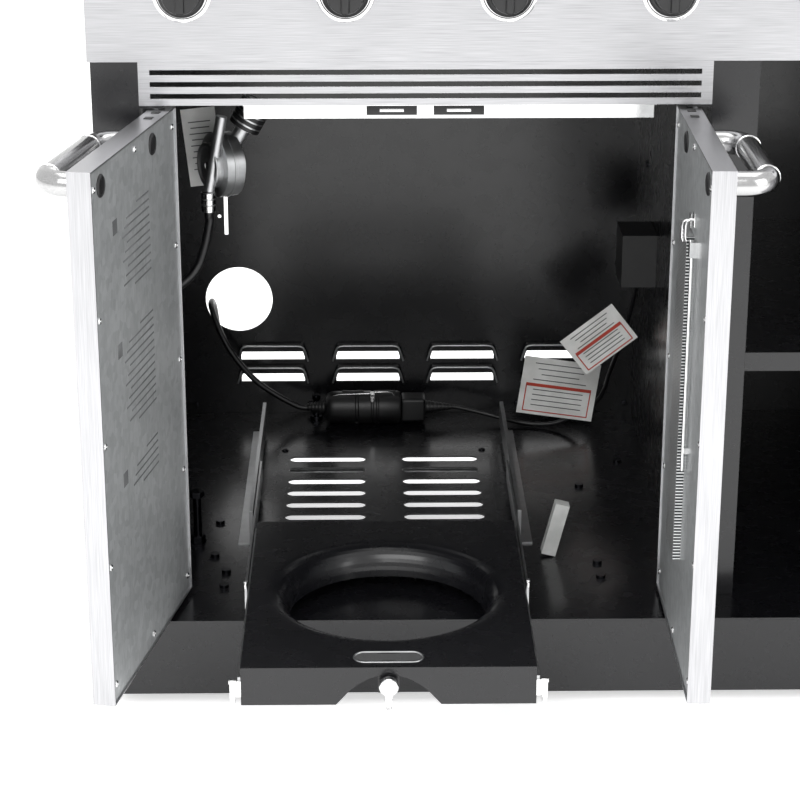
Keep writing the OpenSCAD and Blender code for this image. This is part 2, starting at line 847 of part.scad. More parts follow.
hose_x = left_x + 10;    // the hose climbs the cabinet wall here
hose_y = 72;
hose_bend = 40;
hose_r = 5;

// down out of the regulator, round in a hanging loop, up the wall and into the manifold
hose_route = concat(
    [[outlet_x, outlet_y, reg_z - 50], [outlet_x, outlet_y, reg_z - 56]],
    [for (a = [0 : 45 : 180])
        let (k = (1 - cos(a)) / 2)
            [outlet_x + k * (hose_x - outlet_x), outlet_y + k * (hose_y - outlet_y),
                reg_z - 65 - 70 * sin(a)]],
    [[hose_x, hose_y - 1, reg_z + 20], [hose_x, hose_y - 4, knob_z - 115]],
    [for (a = [180 : -30 : 90])
        [hose_x + hose_bend + hose_bend * cos(a), pipe_y, knob_z - hose_bend + hose_bend * sin(a)]],
    [[left_x + 55, pipe_y, knob_z]]
);

module gas_hose() color("#0c0c0c") seat()
    cable(hose_route, hose_r, 4, 12);

plug_y = back_y - 41;
plug_z = deck_z + 23;
plug_x = -204;

// socket on the mains lead with the plug of the inner cord pushed into it
module coupling() color("#0d0d0d") seat() {
    rod_x(plug_x - 105, plug_x, plug_y, plug_z, 22.9);
    slab(plug_x, plug_x + 34, plug_y - 17, plug_y + 17, plug_z - 17, plug_z + 17);
    translate([plug_x - 105, plug_y, plug_z])
        rotate([0, -90, 0])
            cylinder(h = 24, r1 = 11, r2 = 6);
    translate([plug_x + 34, plug_y, plug_z])
        rotate([0, 90, 0])
            cylinder(h = 36, r1 = 9, r2 = 4.5);
}

cord_route = [
    [plug_x + 70, plug_y, plug_z],
    [plug_x + 84, plug_y, plug_z - 2],
    [-80, plug_y - 4, deck_z + 12],
    [-40, plug_y - 18, deck_z + 6],
    [10, plug_y - 30, deck_z + 10],
    [64, plug_y - 38, deck_z + 45],
    [76, plug_y - 62, deck_z + 90],
    [90, plug_y - 100, deck_z + 160],
    [96, 442, deck_z + 215],
    [97, 430, deck_z + 238],
    [97, 430, deck_z + 250]
];

module inner_cord() color("#0f0f0f") seat()
    cable(cord_route, 3, 5, 8);

module control_box() color("#0f0f10") seat()
    slab(bay_r - 44, bay_r, 390, 460, deck_z + 250, deck_z + 318);

// printed care tags, blank but for a band
module tag(w, h, place, turn) {
    translate(place)
        rotate(turn)
            translate([-w / 2, -0.4, -h / 2])
                cube([w, 0.8, h]);
}

module tags() color("#e4e4e4") seat() {
    tag(104, 82, [10, plug_y - 44, deck_z + 64], [0, 8, 0]);
    tag(84, 58, [53, plug_y - 137, deck_z + 165], [0, -38, 0]);
    tag(40, 92, [reg_x - 26, reg_y + 44, reg_z + 10], [0, -6, 0]);
}

module prop_block() color("#c9cac8") seat()
    translate([-44, 118, deck_z + 0.5])
        rotate([0, 14, 0])
            slab(0, 17, -8, 8, 4.2, 70);

lead_route = [
    [plug_x - 129, plug_y, plug_z],
    [plug_x - 145, plug_y, plug_z + 3],
    [-400, plug_y + 3, deck_z + 58],
    [-440, plug_y + 12, deck_z + 105],
    [-461, plug_y + 28, deck_z + 150],
    [-465, back_y + 6, 266],
    [-464, back_y + 50, 246],
    [-460, back_y + 84, 180],
    [-456, back_y + 104, 100],
    [-452, back_y + 124, 36],
    [-448, back_y + 152, 10],
    [-442, back_y + 190, 5],
    [-438, back_y + 232, 5],
    [-437, back_y + 246, 5]
];
coil_x = -390;
coil_y = out_y + 244;
lead_r = 4;
tail_y = coil_y + 47;
tail_x = coil_x + 110;

module mains_lead() color("#0d0d0d") seat() {
    cable(lead_route, lead_r, 5, 8);
    translate([coil_x, coil_y, 0.5])
        rotate_extrude()
            translate([39, 0])
                square([17, 17]);
    cable([[coil_x + 10, tail_y, 8], [coil_x + 40, tail_y, 8.5], [tail_x - 20, tail_y, 13.5],
        [tail_x, tail_y, 14]], lead_r, 4, 8);
}

module mains_plug() color("#101010") seat() {
    translate([tail_x, tail_y, 14])
        rotate([0, 90, 0])
            cylinder(h = 26, r1 = 5, r2 = 8);
    slab(tail_x + 26, tail_x + 60, tail_y - 14, tail_y + 14, 1, 27);
    for (s = [-1, 1])
        slab(tail_x + 60, tail_x + 78, tail_y + s * 7 - 1, tail_y + s * 7 + 1, 11, 17);
}

// ---- wheels ----

wheel_r = wheel_d / 2;
cast_x = right_x - 79;
cast_y = -skirt_out + 77;
trail = 22;
axle_y = back_y - 56;
wheel_w = 24;

module caster_plates() color("#8d8f92") seat() {
    for (s = [-1, 1]) {
        difference() {
            slab(s * cast_x - 35, s * cast_x + 35, cast_y - 30, cast_y + 30, floor_z - 5, floor_z);
            rod_z(s * cast_x, cast_y, floor_z - 6, floor_z + over, 5 + run_fit);
        }
        for (e = [-1, 1])
            difference() {
                slab(s * cast_x + e * 18 - 1.5, s * cast_x + e * 18 + 1.5, axle_y - 16, axle_y + 16,
                    wheel_r - 14, floor_z);
                rod_x(s * cast_x + e * 18 - 3, s * cast_x + e * 18 + 3, axle_y, wheel_r, 5 + run_fit);
            }
    }
}

module fork(x) {
    rod_z(x, cast_y, floor_z - 12, floor_z - 6, 20);
    rod_z(x, cast_y, floor_z - 7, floor_z - 0.5, 5);
    for (e = [-1, 1])
        slab(x + e * 16 - 1.5, x + e * 16 + 1.5, cast_y - 8, cast_y + trail + 9, wheel_r - 9, floor_z - 9);
    slab(x - 17.5, x + 17.5, cast_y - 8, cast_y + 12, floor_z - 12, floor_z - 9);
    rod_x(x - 17.5, x + 17.5, cast_y + trail, wheel_r, 4);
}

module fork_left() color("#9a9c9e") seat() fork(-cast_x);
module fork_right() color("#9a9c9e") seat() fork(cast_x);

module front_wheel(x) {
    difference() {
        rod_x(x - wheel_w / 2, x + wheel_w / 2, cast_y + trail, wheel_r, wheel_r);
        rod_x(x - wheel_w, x + wheel_w, cast_y + trail, wheel_r, 4 + run_fit);
    }
}

module wheel_left() color("#1a1a1a") seat() front_wheel(-cast_x);
module wheel_right() color("#1a1a1a") seat() front_wheel(cast_x);

module rear_wheels() color("#1a1a1a") seat() {
    rod_x(-cast_x - 24, cast_x + 24, axle_y, wheel_r, 5);
    for (s = [-1, 1])
        rod_x(s * cast_x - wheel_w / 2, s * cast_x + wheel_w / 2, axle_y, wheel_r, wheel_r);
}

base_skirt();
floor_panel();
floor_bolts();
vent_plate();
side_left();
side_right();
divider();
back_panel();
louver_panel();
magnet_bracket();
control_panel();
knob_1();
knob_2();
knob_3();
knob_4();
knob_5();
manifold();
regulator();
gas_hose();
igniter_button();
cook_box();
burners();
flame_tamers();
grates();
prop_block();
grease_tray();
hood();
hood_handle();
handle_bay2();
side_deck();
side_burner();
side_grate();
side_lid();
door_left();
liner_left();
handle_left();
door_right();
liner_right();
handle_right();
door_bay2();
shelf();
tray();
slides_outer();
slides_middle();
slides_inner();
thumbscrew();
control_box();
inner_cord();
coupling();
tags();
door_pocket();
mains_lead();
mains_plug();
caster_plates();
fork_left();
fork_right();
wheel_left();
wheel_right();
rear_wheels();
lighter();
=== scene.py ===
import json
import math

import bpy
from bpy.props import FloatProperty, FloatVectorProperty, IntProperty, PointerProperty
from mathutils import Euler, Matrix, Vector


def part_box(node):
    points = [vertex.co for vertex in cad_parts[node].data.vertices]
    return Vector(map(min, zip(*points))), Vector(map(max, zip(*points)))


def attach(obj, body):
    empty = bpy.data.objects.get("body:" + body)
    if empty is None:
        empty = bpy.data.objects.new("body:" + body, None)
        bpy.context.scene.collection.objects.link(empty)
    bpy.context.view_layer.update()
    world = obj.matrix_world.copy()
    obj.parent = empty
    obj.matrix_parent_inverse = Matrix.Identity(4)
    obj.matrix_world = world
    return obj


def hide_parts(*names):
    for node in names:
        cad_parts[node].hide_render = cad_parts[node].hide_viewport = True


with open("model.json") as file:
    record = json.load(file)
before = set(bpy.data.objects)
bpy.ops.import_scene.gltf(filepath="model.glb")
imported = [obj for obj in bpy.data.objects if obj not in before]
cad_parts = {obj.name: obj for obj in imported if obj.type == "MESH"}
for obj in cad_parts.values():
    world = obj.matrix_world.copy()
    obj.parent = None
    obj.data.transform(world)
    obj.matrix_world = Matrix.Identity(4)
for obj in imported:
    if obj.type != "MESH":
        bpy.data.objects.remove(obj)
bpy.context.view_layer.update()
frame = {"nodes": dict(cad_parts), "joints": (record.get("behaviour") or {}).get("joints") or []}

bl_info = {
    "name": "Gas barbecue grill",
    "version": (1, 0, 0),
    "blender": (4, 5, 0),
    "location": "View3D > Sidebar > Grill",
    "description": "Finishes and fittings for a cabinet-cart gas barbecue grill",
    "category": "Object",
}

NODES = frame["nodes"]
JOINTS = {j["name"]: j for j in frame["joints"]}
MM = 0.001

# the cart's own lines, read from the frame
CART_X = (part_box("floor_panel")[0].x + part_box("floor_panel")[1].x) / 2
FACE_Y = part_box("side_left")[0].y


def at(x, y, z):
    """A place given in millimetres from the middle of the cart's door face, on the ground."""
    return Vector((CART_X + x * MM, FACE_Y + y * MM, z * MM))


# ---- colour and node helpers ----


def rgb(code):
    """Linear colour of an sRGB hex code."""
    parts = [int(code[i : i + 2], 16) / 255 for i in (0, 2, 4)]
    return tuple(c / 12.92 if c <= 0.04045 else ((c + 0.055) / 1.055) ** 2.4 for c in parts) + (1.0,)


def add_node(tree, kind, links=(), **settings):
    """Adds a shader node. Settings name its sockets or properties, links pair a socket with a source."""
    made = tree.nodes.new(kind)
    for name, value in settings.items():
        if name in made.inputs:
            made.inputs[name].default_value = value
        elif hasattr(made, name):
            setattr(made, name, value)
        else:
            made.inputs[name.replace("_", " ")].default_value = value
    for name, source in links:
        tree.links.new(source, made.inputs[name])
    return made


def new_material(name):
    """An empty material: its tree, its shader and its object coordinates."""
    made = bpy.data.materials.new(name)
    made.use_nodes = True
    tree = made.node_tree
    tree.nodes.clear()
    shader = add_node(tree, "ShaderNodeBsdfPrincipled")
    out = add_node(tree, "ShaderNodeOutputMaterial")
    tree.links.new(shader.outputs[0], out.inputs[0])
    coords = add_node(tree, "ShaderNodeTexCoord").outputs["Object"]
    return made, tree, shader, coords


def noise(tree, coords, size_mm, stretch=(1, 1, 1), detail=2.0, rough=0.5):
    """A noise whose features are about size_mm across, drawn out along the axes with a small stretch."""
    scale = 1 / (size_mm * MM)
    mapped = add_node(tree, "ShaderNodeMapping", [("Vector", coords)])
    mapped.inputs["Scale"].default_value = [scale * s for s in stretch]
    made = add_node(tree, "ShaderNodeTexNoise", [("Vector", mapped.outputs[0])], Scale=1.0)
    made.inputs["Detail"].default_value = detail
    made.inputs["Roughness"].default_value = rough
    return made.outputs["Fac"]


def ramp(tree, source, low, high, at_low=0.0, at_high=1.0):
    """Turns a factor into a colour or a grey between two stops."""
    made = add_node(tree, "ShaderNodeValToRGB", [("Fac", source)])
    made.color_ramp.elements[0].position = at_low
    made.color_ramp.elements[1].position = at_high
    made.color_ramp.elements[0].color = low
    made.color_ramp.elements[1].color = high
    return made.outputs["Color"]


def span(tree, source, low, high):
    """Maps a factor from 0..1 to low..high."""
    made = add_node(tree, "ShaderNodeMapRange", [("Value", source)])
    made.inputs["To Min"].default_value = low
    made.inputs["To Max"].default_value = high
    return made.outputs["Result"]


def relief(tree, shader, height, depth_mm, edge_mm=0.0):
    """Bumps the shader by a height, over edges softened by edge_mm."""
    bump = add_node(tree, "ShaderNodeBump", [("Height", height)])
    bump.inputs["Strength"].default_value = 1.0
    bump.inputs["Distance"].default_value = depth_mm * MM
    if edge_mm:
        edge = add_node(tree, "ShaderNodeBevel")
        edge.samples = 6
        edge.inputs["Radius"].default_value = edge_mm * MM
        tree.links.new(edge.outputs[0], bump.inputs["Normal"])
    tree.links.new(bump.outputs[0], shader.inputs["Normal"])


# ---- finishes ----


def black_enamel():
    """Sprayed black enamel on folded sheet: near black, a soft mirror, a faint orange peel."""
    made, tree, shader, coords = new_material("sprayed_black_enamel")
    tone = noise(tree, coords, 90)
    tree.links.new(ramp(tree, tone, rgb("0a0a0c"), rgb("111114")), shader.inputs["Base Color"])
    tree.links.new(span(tree, noise(tree, coords, 25, detail=4), 0.22, 0.32), shader.inputs["Roughness"])
    shader.inputs["Specular IOR Level"].default_value = 0.38
    shader.inputs["Coat Weight"].default_value = 0.3
    shader.inputs["Coat Roughness"].default_value = 0.16
    relief(tree, shader, noise(tree, coords, 3.0), 0.012, 1.2)
    return made


def brushed_stainless(name, stretch, light, dark, rough=(0.26, 0.36)):
    """Belt-brushed stainless sheet: hair lines along one way that spread the light across them."""
    made, tree, shader, coords = new_material(name)
    shader.inputs["Metallic"].default_value = 1.0
    lines = noise(tree, coords, 0.6, stretch, detail=3)
    cloud = noise(tree, coords, 120)
    tint = ramp(tree, lines, rgb(dark), rgb(light), 0.3, 0.7)
    soft = ramp(tree, cloud, rgb("f5f5f5"), rgb("ffffff"), 0.2, 0.8)
    mixed = add_node(tree, "ShaderNodeMix", data_type="RGBA", blend_type="MULTIPLY")
    mixed.inputs[0].default_value = 1.0
    tree.links.new(tint, mixed.inputs[6])
    tree.links.new(soft, mixed.inputs[7])
    tree.links.new(mixed.outputs[2], shader.inputs["Base Color"])
    tree.links.new(span(tree, lines, *rough), shader.inputs["Roughness"])
    relief(tree, shader, lines, 0.004, 0.8)
    return made


def zinc_sheet():
    """Rolled galvanised sheet: dull grey, a soft spangle and fine rolling lines."""
    made, tree, shader, coords = new_material("rolled_galvanised_sheet")
    shader.inputs["Metallic"].default_value = 0.6
    cells = add_node(tree, "ShaderNodeTexVoronoi", [("Vector", coords)], Scale=1 / (9 * MM))
    lines = noise(tree, coords, 0.8, (1, 1, 0.03), detail=3)
    base = ramp(tree, lines, rgb("a4a7a8"), rgb("bcbebf"), 0.3, 0.7)
    spangle = ramp(tree, cells.outputs["Color"], rgb("e9e9e9"), rgb("ffffff"), 0.2, 0.8)
    mixed = add_node(tree, "ShaderNodeMix", data_type="RGBA", blend_type="MULTIPLY")
    mixed.inputs[0].default_value = 1.0
    tree.links.new(base, mixed.inputs[6])
    tree.links.new(spangle, mixed.inputs[7])
    tree.links.new(mixed.outputs[2], shader.inputs["Base Color"])
    tree.links.new(span(tree, noise(tree, coords, 40, detail=3), 0.34, 0.46), shader.inputs["Roughness"])
    relief(tree, shader, lines, 0.01, 0.5)
    return made


def plated(name, colour, rough, grain_mm=0.6, peel=0.01):
    """Bright or zinc plating on pressed steel: smooth, with small changes of sheen."""
    made, tree, shader, coords = new_material(name)
    shader.inputs["Metallic"].default_value = 1.0
    tone = noise(tree, coords, 14, detail=4)
    low = tuple(c * 0.8 for c in rgb(colour)[:3]) + (1.0,)
    tree.links.new(ramp(tree, tone, low, rgb(colour), 0.3, 0.7), shader.inputs["Base Color"])
    tree.links.new(span(tree, tone, rough * 0.8, rough * 1.25), shader.inputs["Roughness"])
    relief(tree, shader, noise(tree, coords, grain_mm), peel, 0.4)
    return made


def moulded(name, low, high, rough, grain_mm=0.5, depth=0.03):
    """Moulded plastic or rubber: an even colour with a fine spark-eroded grain."""
    made, tree, shader, coords = new_material(name)
    tone = noise(tree, coords, 30, detail=3)
    tree.links.new(ramp(tree, tone, rgb(low), rgb(high), 0.35, 0.65), shader.inputs["Base Color"])
    tree.links.new(span(tree, tone, rough - 0.05, rough + 0.07), shader.inputs["Roughness"])
    relief(tree, shader, noise(tree, coords, grain_mm, detail=3), depth, 0.6)
    return made


def cast_iron():
    """Sand-cast iron with baked oil: black-brown, matt, coarse grain."""
    made, tree, shader, coords = new_material("sand_cast_iron")
    tone = noise(tree, coords, 18, detail=5)
    tree.links.new(ramp(tree, tone, rgb("161514"), rgb("2b2927"), 0.3, 0.7), shader.inputs["Base Color"])
    tree.links.new(span(tree, tone, 0.5, 0.72), shader.inputs["Roughness"])
    relief(tree, shader, noise(tree, coords, 1.2, detail=4), 0.15, 0.8)
    return made


def perforated_zinc():
    """Perforated zinc sheet: round perforations 3.5 mm apart, drawn as dark dimples of painted shade in place
    of open cut-outs.
    """
    made, tree, shader, coords = new_material("perforated_zinc_sheet")
    shader.inputs["Metallic"].default_value = 0.9
    parts = add_node(tree, "ShaderNodeSeparateXYZ", [("Vector", coords)])
    waves = []
    for axis in ("Y", "Z"):
        turned = add_node(tree, "ShaderNodeMath", operation="MULTIPLY")
        tree.links.new(parts.outputs[axis], turned.inputs[0])
        turned.inputs[1].default_value = math.pi / (3.5 * MM)
        wave = add_node(tree, "ShaderNodeMath", operation="SINE")
        tree.links.new(turned.outputs[0], wave.inputs[0])
        size = add_node(tree, "ShaderNodeMath", operation="ABSOLUTE")
        tree.links.new(wave.outputs[0], size.inputs[0])
        waves.append(size.outputs[0])
    both = add_node(tree, "ShaderNodeMath", operation="MULTIPLY")
    tree.links.new(waves[0], both.inputs[0])
    tree.links.new(waves[1], both.inputs[1])
    # dark grey at each perforation is painted shade standing in for the open hole
    hole_shade = ramp(tree, both.outputs[0], rgb("dcdddd"), rgb("3a3b3c"), 0.45, 0.6)
    tree.links.new(hole_shade, shader.inputs["Base Color"])
    tree.links.new(span(tree, noise(tree, coords, 20), 0.3, 0.45), shader.inputs["Roughness"])
    return made


FINISHES = {}
POLISHED = ("c6c6c6", "a2a2a2", (0.12, 0.22))     # light and dark tone, and roughness


def finish_of(name):
    """The finish of that name, made the first time it is asked for."""
    recipes = {
        "enamel": black_enamel,
        "steel_x": lambda: brushed_stainless("brushed_stainless_across", (0.012, 1, 1), "bebec0", "a2a2a4"),
        "steel_z": lambda: brushed_stainless("brushed_stainless_upright", (1, 1, 0.012), "c0c0c2", "a9a9ab"),
        "tube": lambda: brushed_stainless("polished_stainless_tube", (1, 0.02, 1), *POLISHED),
        "tube_x": lambda: brushed_stainless("polished_stainless_bar", (0.02, 1, 1), *POLISHED),
        "zinc_sheet": zinc_sheet,
        "zinc": lambda: plated("zinc_plated_steel", "b9babb", 0.32),
        "chrome": lambda: plated("bright_chrome_plate", "e6e6e6", 0.1),
        "black_zinc": lambda: plated("black_zinc_plate", "3c3c40", 0.22),
        "diecast": lambda: plated("die_cast_zinc", "c3c4c5", 0.38, 0.9, 0.05),
        "burner": lambda: plated("heat_toned_steel", "8f8579", 0.42, 1.0, 0.04),
        "brass": lambda: plated("cast_brass", "b08a4a", 0.35, 0.9, 0.05),
        "plastic": lambda: moulded("moulded_black_nylon", "0c0c0d", "161617", 0.42),
        "rubber": lambda: moulded("extruded_black_pvc", "08080a", "121214", 0.38, 0.8, 0.02),
        "tyre": lambda: moulded("moulded_grey_rubber", "1a1a1b", "29292a", 0.65, 1.2, 0.08),
        "pale": lambda: moulded("moulded_grey_polystyrene", "a9aaa8", "c4c5c3", 0.5),
        "card": lambda: moulded("uncoated_white_card", "d9d9d6", "eeeeec", 0.85, 0.4, 0.03),
        "red": lambda: moulded("printed_red_ink", "b03a2c", "c24a38", 0.7, 0.4, 0.01),
        "ink": lambda: moulded("printed_grey_ink", "4a4b4c", "636465", 0.6, 0.4, 0.01),
        "iron": cast_iron,
        "perforated": perforated_zinc,
    }
    if name not in FINISHES:
        FINISHES[name] = recipes[name]()
    return FINISHES[name]


def coat(piece, name):
    """Gives a piece one finish in place of what it has."""
    piece.data.materials.clear()
    piece.data.materials.append(finish_of(name))


# ---- modelling helpers, all in millimetres ----


def begin():
    """Leaves nothing selected."""
    if bpy.context.object and bpy.context.object.mode != "OBJECT":
        bpy.ops.object.mode_set(mode="OBJECT")
    bpy.ops.object.select_all(action="DESELECT")


def edit(piece):
    """Selects one piece all over, in edit mode."""
    begin()
    piece.select_set(True)
    bpy.context.view_layer.objects.active = piece
    bpy.ops.object.mode_set(mode="EDIT")
    bpy.ops.mesh.select_all(action="SELECT")


def place(piece, spot, turn=(0, 0, 0)):
    """Turns a piece made at the origin, moves it to its spot and puts both into its mesh."""
    begin()
    piece.select_set(True)
    bpy.context.view_layer.objects.active = piece
    piece.rotation_euler = Euler([math.radians(a) for a in turn])
    piece.location = spot
    bpy.ops.object.transform_apply(location=True, rotation=True, scale=True)
    return piece


def block(size, round_mm=0.6, steps=2):
    """A box of that size about the origin with its edges rounded."""
    begin()
    bpy.ops.mesh.primitive_cube_add(size=1)
    piece = bpy.context.object
    piece.scale = [s * MM for s in size]
    bpy.ops.object.transform_apply(scale=True)
    edit(piece)
    bpy.ops.mesh.bevel(offset=round_mm * MM, segments=steps, affect="EDGES")
    bpy.ops.object.mode_set(mode="OBJECT")
    return piece


def lathe(rings, sides=48):
    """Extrudes and scales a disc upwards through (radius, height) pairs, standing on the origin."""
    begin()
    bpy.ops.mesh.primitive_circle_add(
        vertices=sides, radius=rings[0][0] * MM, fill_type="NGON", location=(0, 0, rings[0][1] * MM)
    )
    piece = bpy.context.object
    bpy.ops.object.transform_apply(location=True)
    edit(piece)
    for (r0, z0), (r1, z1) in zip(rings, rings[1:]):
        bpy.ops.mesh.extrude_region_move(TRANSFORM_OT_translate={"value": (0, 0, (z1 - z0) * MM)})
        bpy.ops.transform.resize(value=(r1 / r0, r1 / r0, 1), center_override=(0, 0, z1 * MM))
    bpy.ops.mesh.select_all(action="SELECT")
    bpy.ops.mesh.normals_make_consistent(inside=False)
    bpy.ops.object.mode_set(mode="OBJECT")
    return piece


def wire(points, radius, sides=6, closed=False):
    """A round bar bent along points, as a mesh with closed ends."""
    begin()
    data = bpy.data.curves.new("bar", "CURVE")
    data.dimensions = "3D"
    data.bevel_depth = radius * MM
    data.bevel_resolution = sides
    data.use_fill_caps = True
    line = data.splines.new("POLY")
    line.points.add(len(points) - 1)
    for spot, p in zip(line.points, points):
        spot.co = (*p, 1)
    line.use_cyclic_u = closed
    piece = bpy.data.objects.new("bar", data)
    bpy.context.scene.collection.objects.link(piece)
    piece.select_set(True)
    bpy.context.view_layer.objects.active = piece
    bpy.ops.object.convert(target="MESH")
    edit(piece)
    bpy.ops.mesh.remove_doubles(threshold=1e-5)
    bpy.ops.mesh.normals_make_consistent(inside=False)
    bpy.ops.object.mode_set(mode="OBJECT")
    return piece


def twin(piece, move=(0, 0, 0), turn_z=0.0, about=None):
    """A copy of a piece with its own mesh, turned about an upright line and then moved."""
    begin()
    piece.select_set(True)
    bpy.context.view_layer.objects.active = piece
    bpy.ops.object.duplicate(linked=False)
    other = bpy.context.object
    if turn_z:
        spot = Vector(about)
        turned = Matrix.Translation(spot) @ Matrix.Rotation(math.radians(turn_z), 4, "Z")
        other.matrix_world = turned @ Matrix.Translation(-spot)
    other.location = other.location + Vector(move) * MM
    bpy.ops.object.transform_apply(location=True, rotation=True, scale=True)
    return other


def join(pieces):
    """One piece out of several."""
    begin()
    for p in pieces:
        p.select_set(True)
    bpy.context.view_layer.objects.active = pieces[0]
    bpy.ops.object.join()
    return pieces[0]


def done(piece, name, finish, body, angle=35):
    """Names a finished piece, gives it its finish and hangs it on its body."""
    begin()
    piece.name = name
    piece.data.name = name
    piece.select_set(True)
    bpy.context.view_layer.objects.active = piece
    if finish:
        coat(piece, finish)
    bpy.ops.object.shade_smooth_by_angle(angle=math.radians(angle))
    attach(piece, body)
    return piece


# the open doors: hinge pin, resting angle and body
DOORS = {
    "left": (JOINTS["left_door_hinge"], -101, "left_door"),
    "right": (JOINTS["right_door_hinge"], 89, "right_door"),
    "narrow": (JOINTS["narrow_door_hinge"], 101, "narrow_door"),
}


def swing(piece, door):
    """Turns a piece drawn on a shut door about its hinge pin to where the door rests."""
    joint, angle, _ = DOORS[door]
    pin = Vector(joint["pos_m"])
    begin()
    piece.select_set(True)
    bpy.context.view_layer.objects.active = piece
    turned = Matrix.Translation(pin) @ Matrix.Rotation(math.radians(angle), 4, "Z")
    piece.matrix_world = turned @ Matrix.Translation(-pin)
    bpy.ops.object.transform_apply(location=True, rotation=True, scale=True)
    return piece


# ---- stage ----


class StageSettings(bpy.types.PropertyGroup):
    """Camera, floor and studio light"""

    eye: FloatVectorProperty(
        name="Camera place",
        description="Where the camera stands, from the middle of the door face",
        default=(-0.246, -2.33, 1.18), subtype="TRANSLATION", unit="LENGTH",
    )
    tilt: FloatProperty(
        name="Camera tilt", description="How far the camera looks down",
        default=math.radians(19.73), subtype="ANGLE", unit="ROTATION",
    )
    pan: FloatProperty(
        name="Camera pan", description="How far the camera looks to the right",
        default=math.radians(0.81), subtype="ANGLE", unit="ROTATION",
    )
    lens: FloatProperty(
        name="Lens", description="Focal length on a 36 mm sensor", default=100.45, unit="CAMERA",
    )
    floor_colour: FloatVectorProperty(
        name="Floor", description="Colour of the studio floor",
        default=rgb("f7f7f7")[:3], subtype="COLOR", size=3, min=0, max=1,
    )
    floor_glow: FloatProperty(
        name="Floor glow", description="Light that the backlit floor gives off", default=0.55, min=0,
    )
    surround: FloatProperty(
        name="Surround", description="Strength of the white light all round", default=1.1, min=0,
    )


def studio_light(name, spot, aim, size, power):
    """A large soft square light turned towards a point."""
    data = bpy.data.lights.new(name, "AREA")
    data.shape = "RECTANGLE"
    data.size, data.size_y = size
    data.energy = power
    lamp = bpy.data.objects.new(name, data)
    bpy.context.scene.collection.objects.link(lamp)
    lamp.location = spot
    lamp.rotation_euler = (Vector(aim) - Vector(spot)).to_track_quat("-Z", "Y").to_euler()
    return lamp


class GRILL_OT_stage(bpy.types.Operator):
    """Camera, pale floor and soft studio light"""

    bl_idname = "grill.stage"
    bl_label = "Stage"

    def execute(self, context):
        options = context.scene.grill_stage
        data = bpy.data.cameras.new("camera")
        data.lens = options.lens
        data.sensor_width = 36
        data.clip_end = 60
        camera = bpy.data.objects.new("camera", data)
        context.scene.collection.objects.link(camera)
        camera.location = at(*[c / MM for c in options.eye])
        camera.rotation_euler = (math.pi / 2 - options.tilt, 0, -options.pan)
        context.scene.camera = camera

        begin()
        bpy.ops.mesh.primitive_plane_add(size=40, location=(0, 8, 0))
        floor = context.object
        floor.name = "studio_floor"
        made, tree, shader, coords = new_material("backlit_acrylic_floor")
        shader.inputs["Base Color"].default_value = (*options.floor_colour, 1)
        shader.inputs["Emission Color"].default_value = (1, 1, 1, 1)
        shader.inputs["Emission Strength"].default_value = options.floor_glow
        tree.links.new(span(tree, noise(tree, coords, 400), 0.85, 0.95), shader.inputs["Roughness"])
        floor.data.materials.append(made)

        world = bpy.data.worlds.new("studio")
        world.use_nodes = True
        world.node_tree.nodes["Background"].inputs["Color"].default_value = (1, 1, 1, 1)
        world.node_tree.nodes["Background"].inputs["Strength"].default_value = options.surround
        context.scene.world = world
        studio_light("key_light", (-1.2, -3.2, 3.0), (0, 0, 0.4), (3.4, 2.2), 92)
        studio_light("fill_light", (2.6, -2.0, 1.6), (0, 0, 0.4), (1.8, 2.4), 45)
        studio_light("top_light", (0, 0.5, 3.6), (0, 0, 0), (3.5, 2.5), 50)
        context.scene.view_settings.view_transform = "Standard"
        return {"FINISHED"}


# ---- cords ----


class CordSettings(bpy.types.PropertyGroup):
    """Thickness of the cords"""

    lead: FloatProperty(
        name="Mains lead", description="Diameter of the mains lead", default=0.008, unit="LENGTH",
    )
    inner: FloatProperty(
        name="Inner cord", description="Diameter of the cord to the control box",
        default=0.006, unit="LENGTH",
    )
    hose: FloatProperty(
        name="Gas hose", description="Diameter of the gas hose", default=0.010, unit="LENGTH",
    )


def eased(a, b, t, t0, t1):
    """Goes softly from a to b while t goes from t0 to t1."""
    k = min(max((t - t0) / (t1 - t0), 0), 1)
    return a + (b - a) * k * k * (3 - 2 * k)


def thinned(route, n):
    """Points on the smooth line through a route, n to a stretch."""
    out = []
    last = len(route) - 1
    for i in range(last):
        a, b, c, d = (Vector(route[j]) for j in (max(i - 1, 0), i, i + 1, min(i + 2, last)))
        for k in range(n):
            t = k / n
            out.append(
                0.5 * (2 * b + (c - a) * t + (2 * a - 5 * b + 4 * c - d) * t**2
                       + (3 * b - a - 3 * c + d) * t**3)
            )
    return out + [Vector(route[last])]


def cord_curve(name, points, diameter):
    """A round cord on one smooth open spline through its points."""
    data = bpy.data.curves.new(name, "CURVE")
    data.dimensions = "3D"
    data.bevel_depth = diameter / 2
    data.bevel_resolution = 5
    data.resolution_u = 5
    data.use_fill_caps = True
    line = data.splines.new("BEZIER")
    line.bezier_points.add(len(points) - 1)
    last = len(points) - 1
    for i, (spot, p) in enumerate(zip(line.bezier_points, points)):
        reach = (points[min(i + 1, last)] - points[max(i - 1, 0)]) / (6 if 0 < i < last else 3)
        spot.handle_left_type = spot.handle_right_type = "FREE"
        spot.co = p
        spot.handle_left = p - reach
        spot.handle_right = p + reach
    cord = bpy.data.objects.new(name, data)
    bpy.context.scene.collection.objects.link(cord)
    cord.data.materials.append(finish_of("rubber"))
    return cord


COIL = (-390, 862)       # middle of the coil behind the cart
COIL_TURNS = 3.25
COIL_OUT, COIL_IN = 51, 42.8
COIL_LOW, COIL_HIGH = 4.2, 12.4


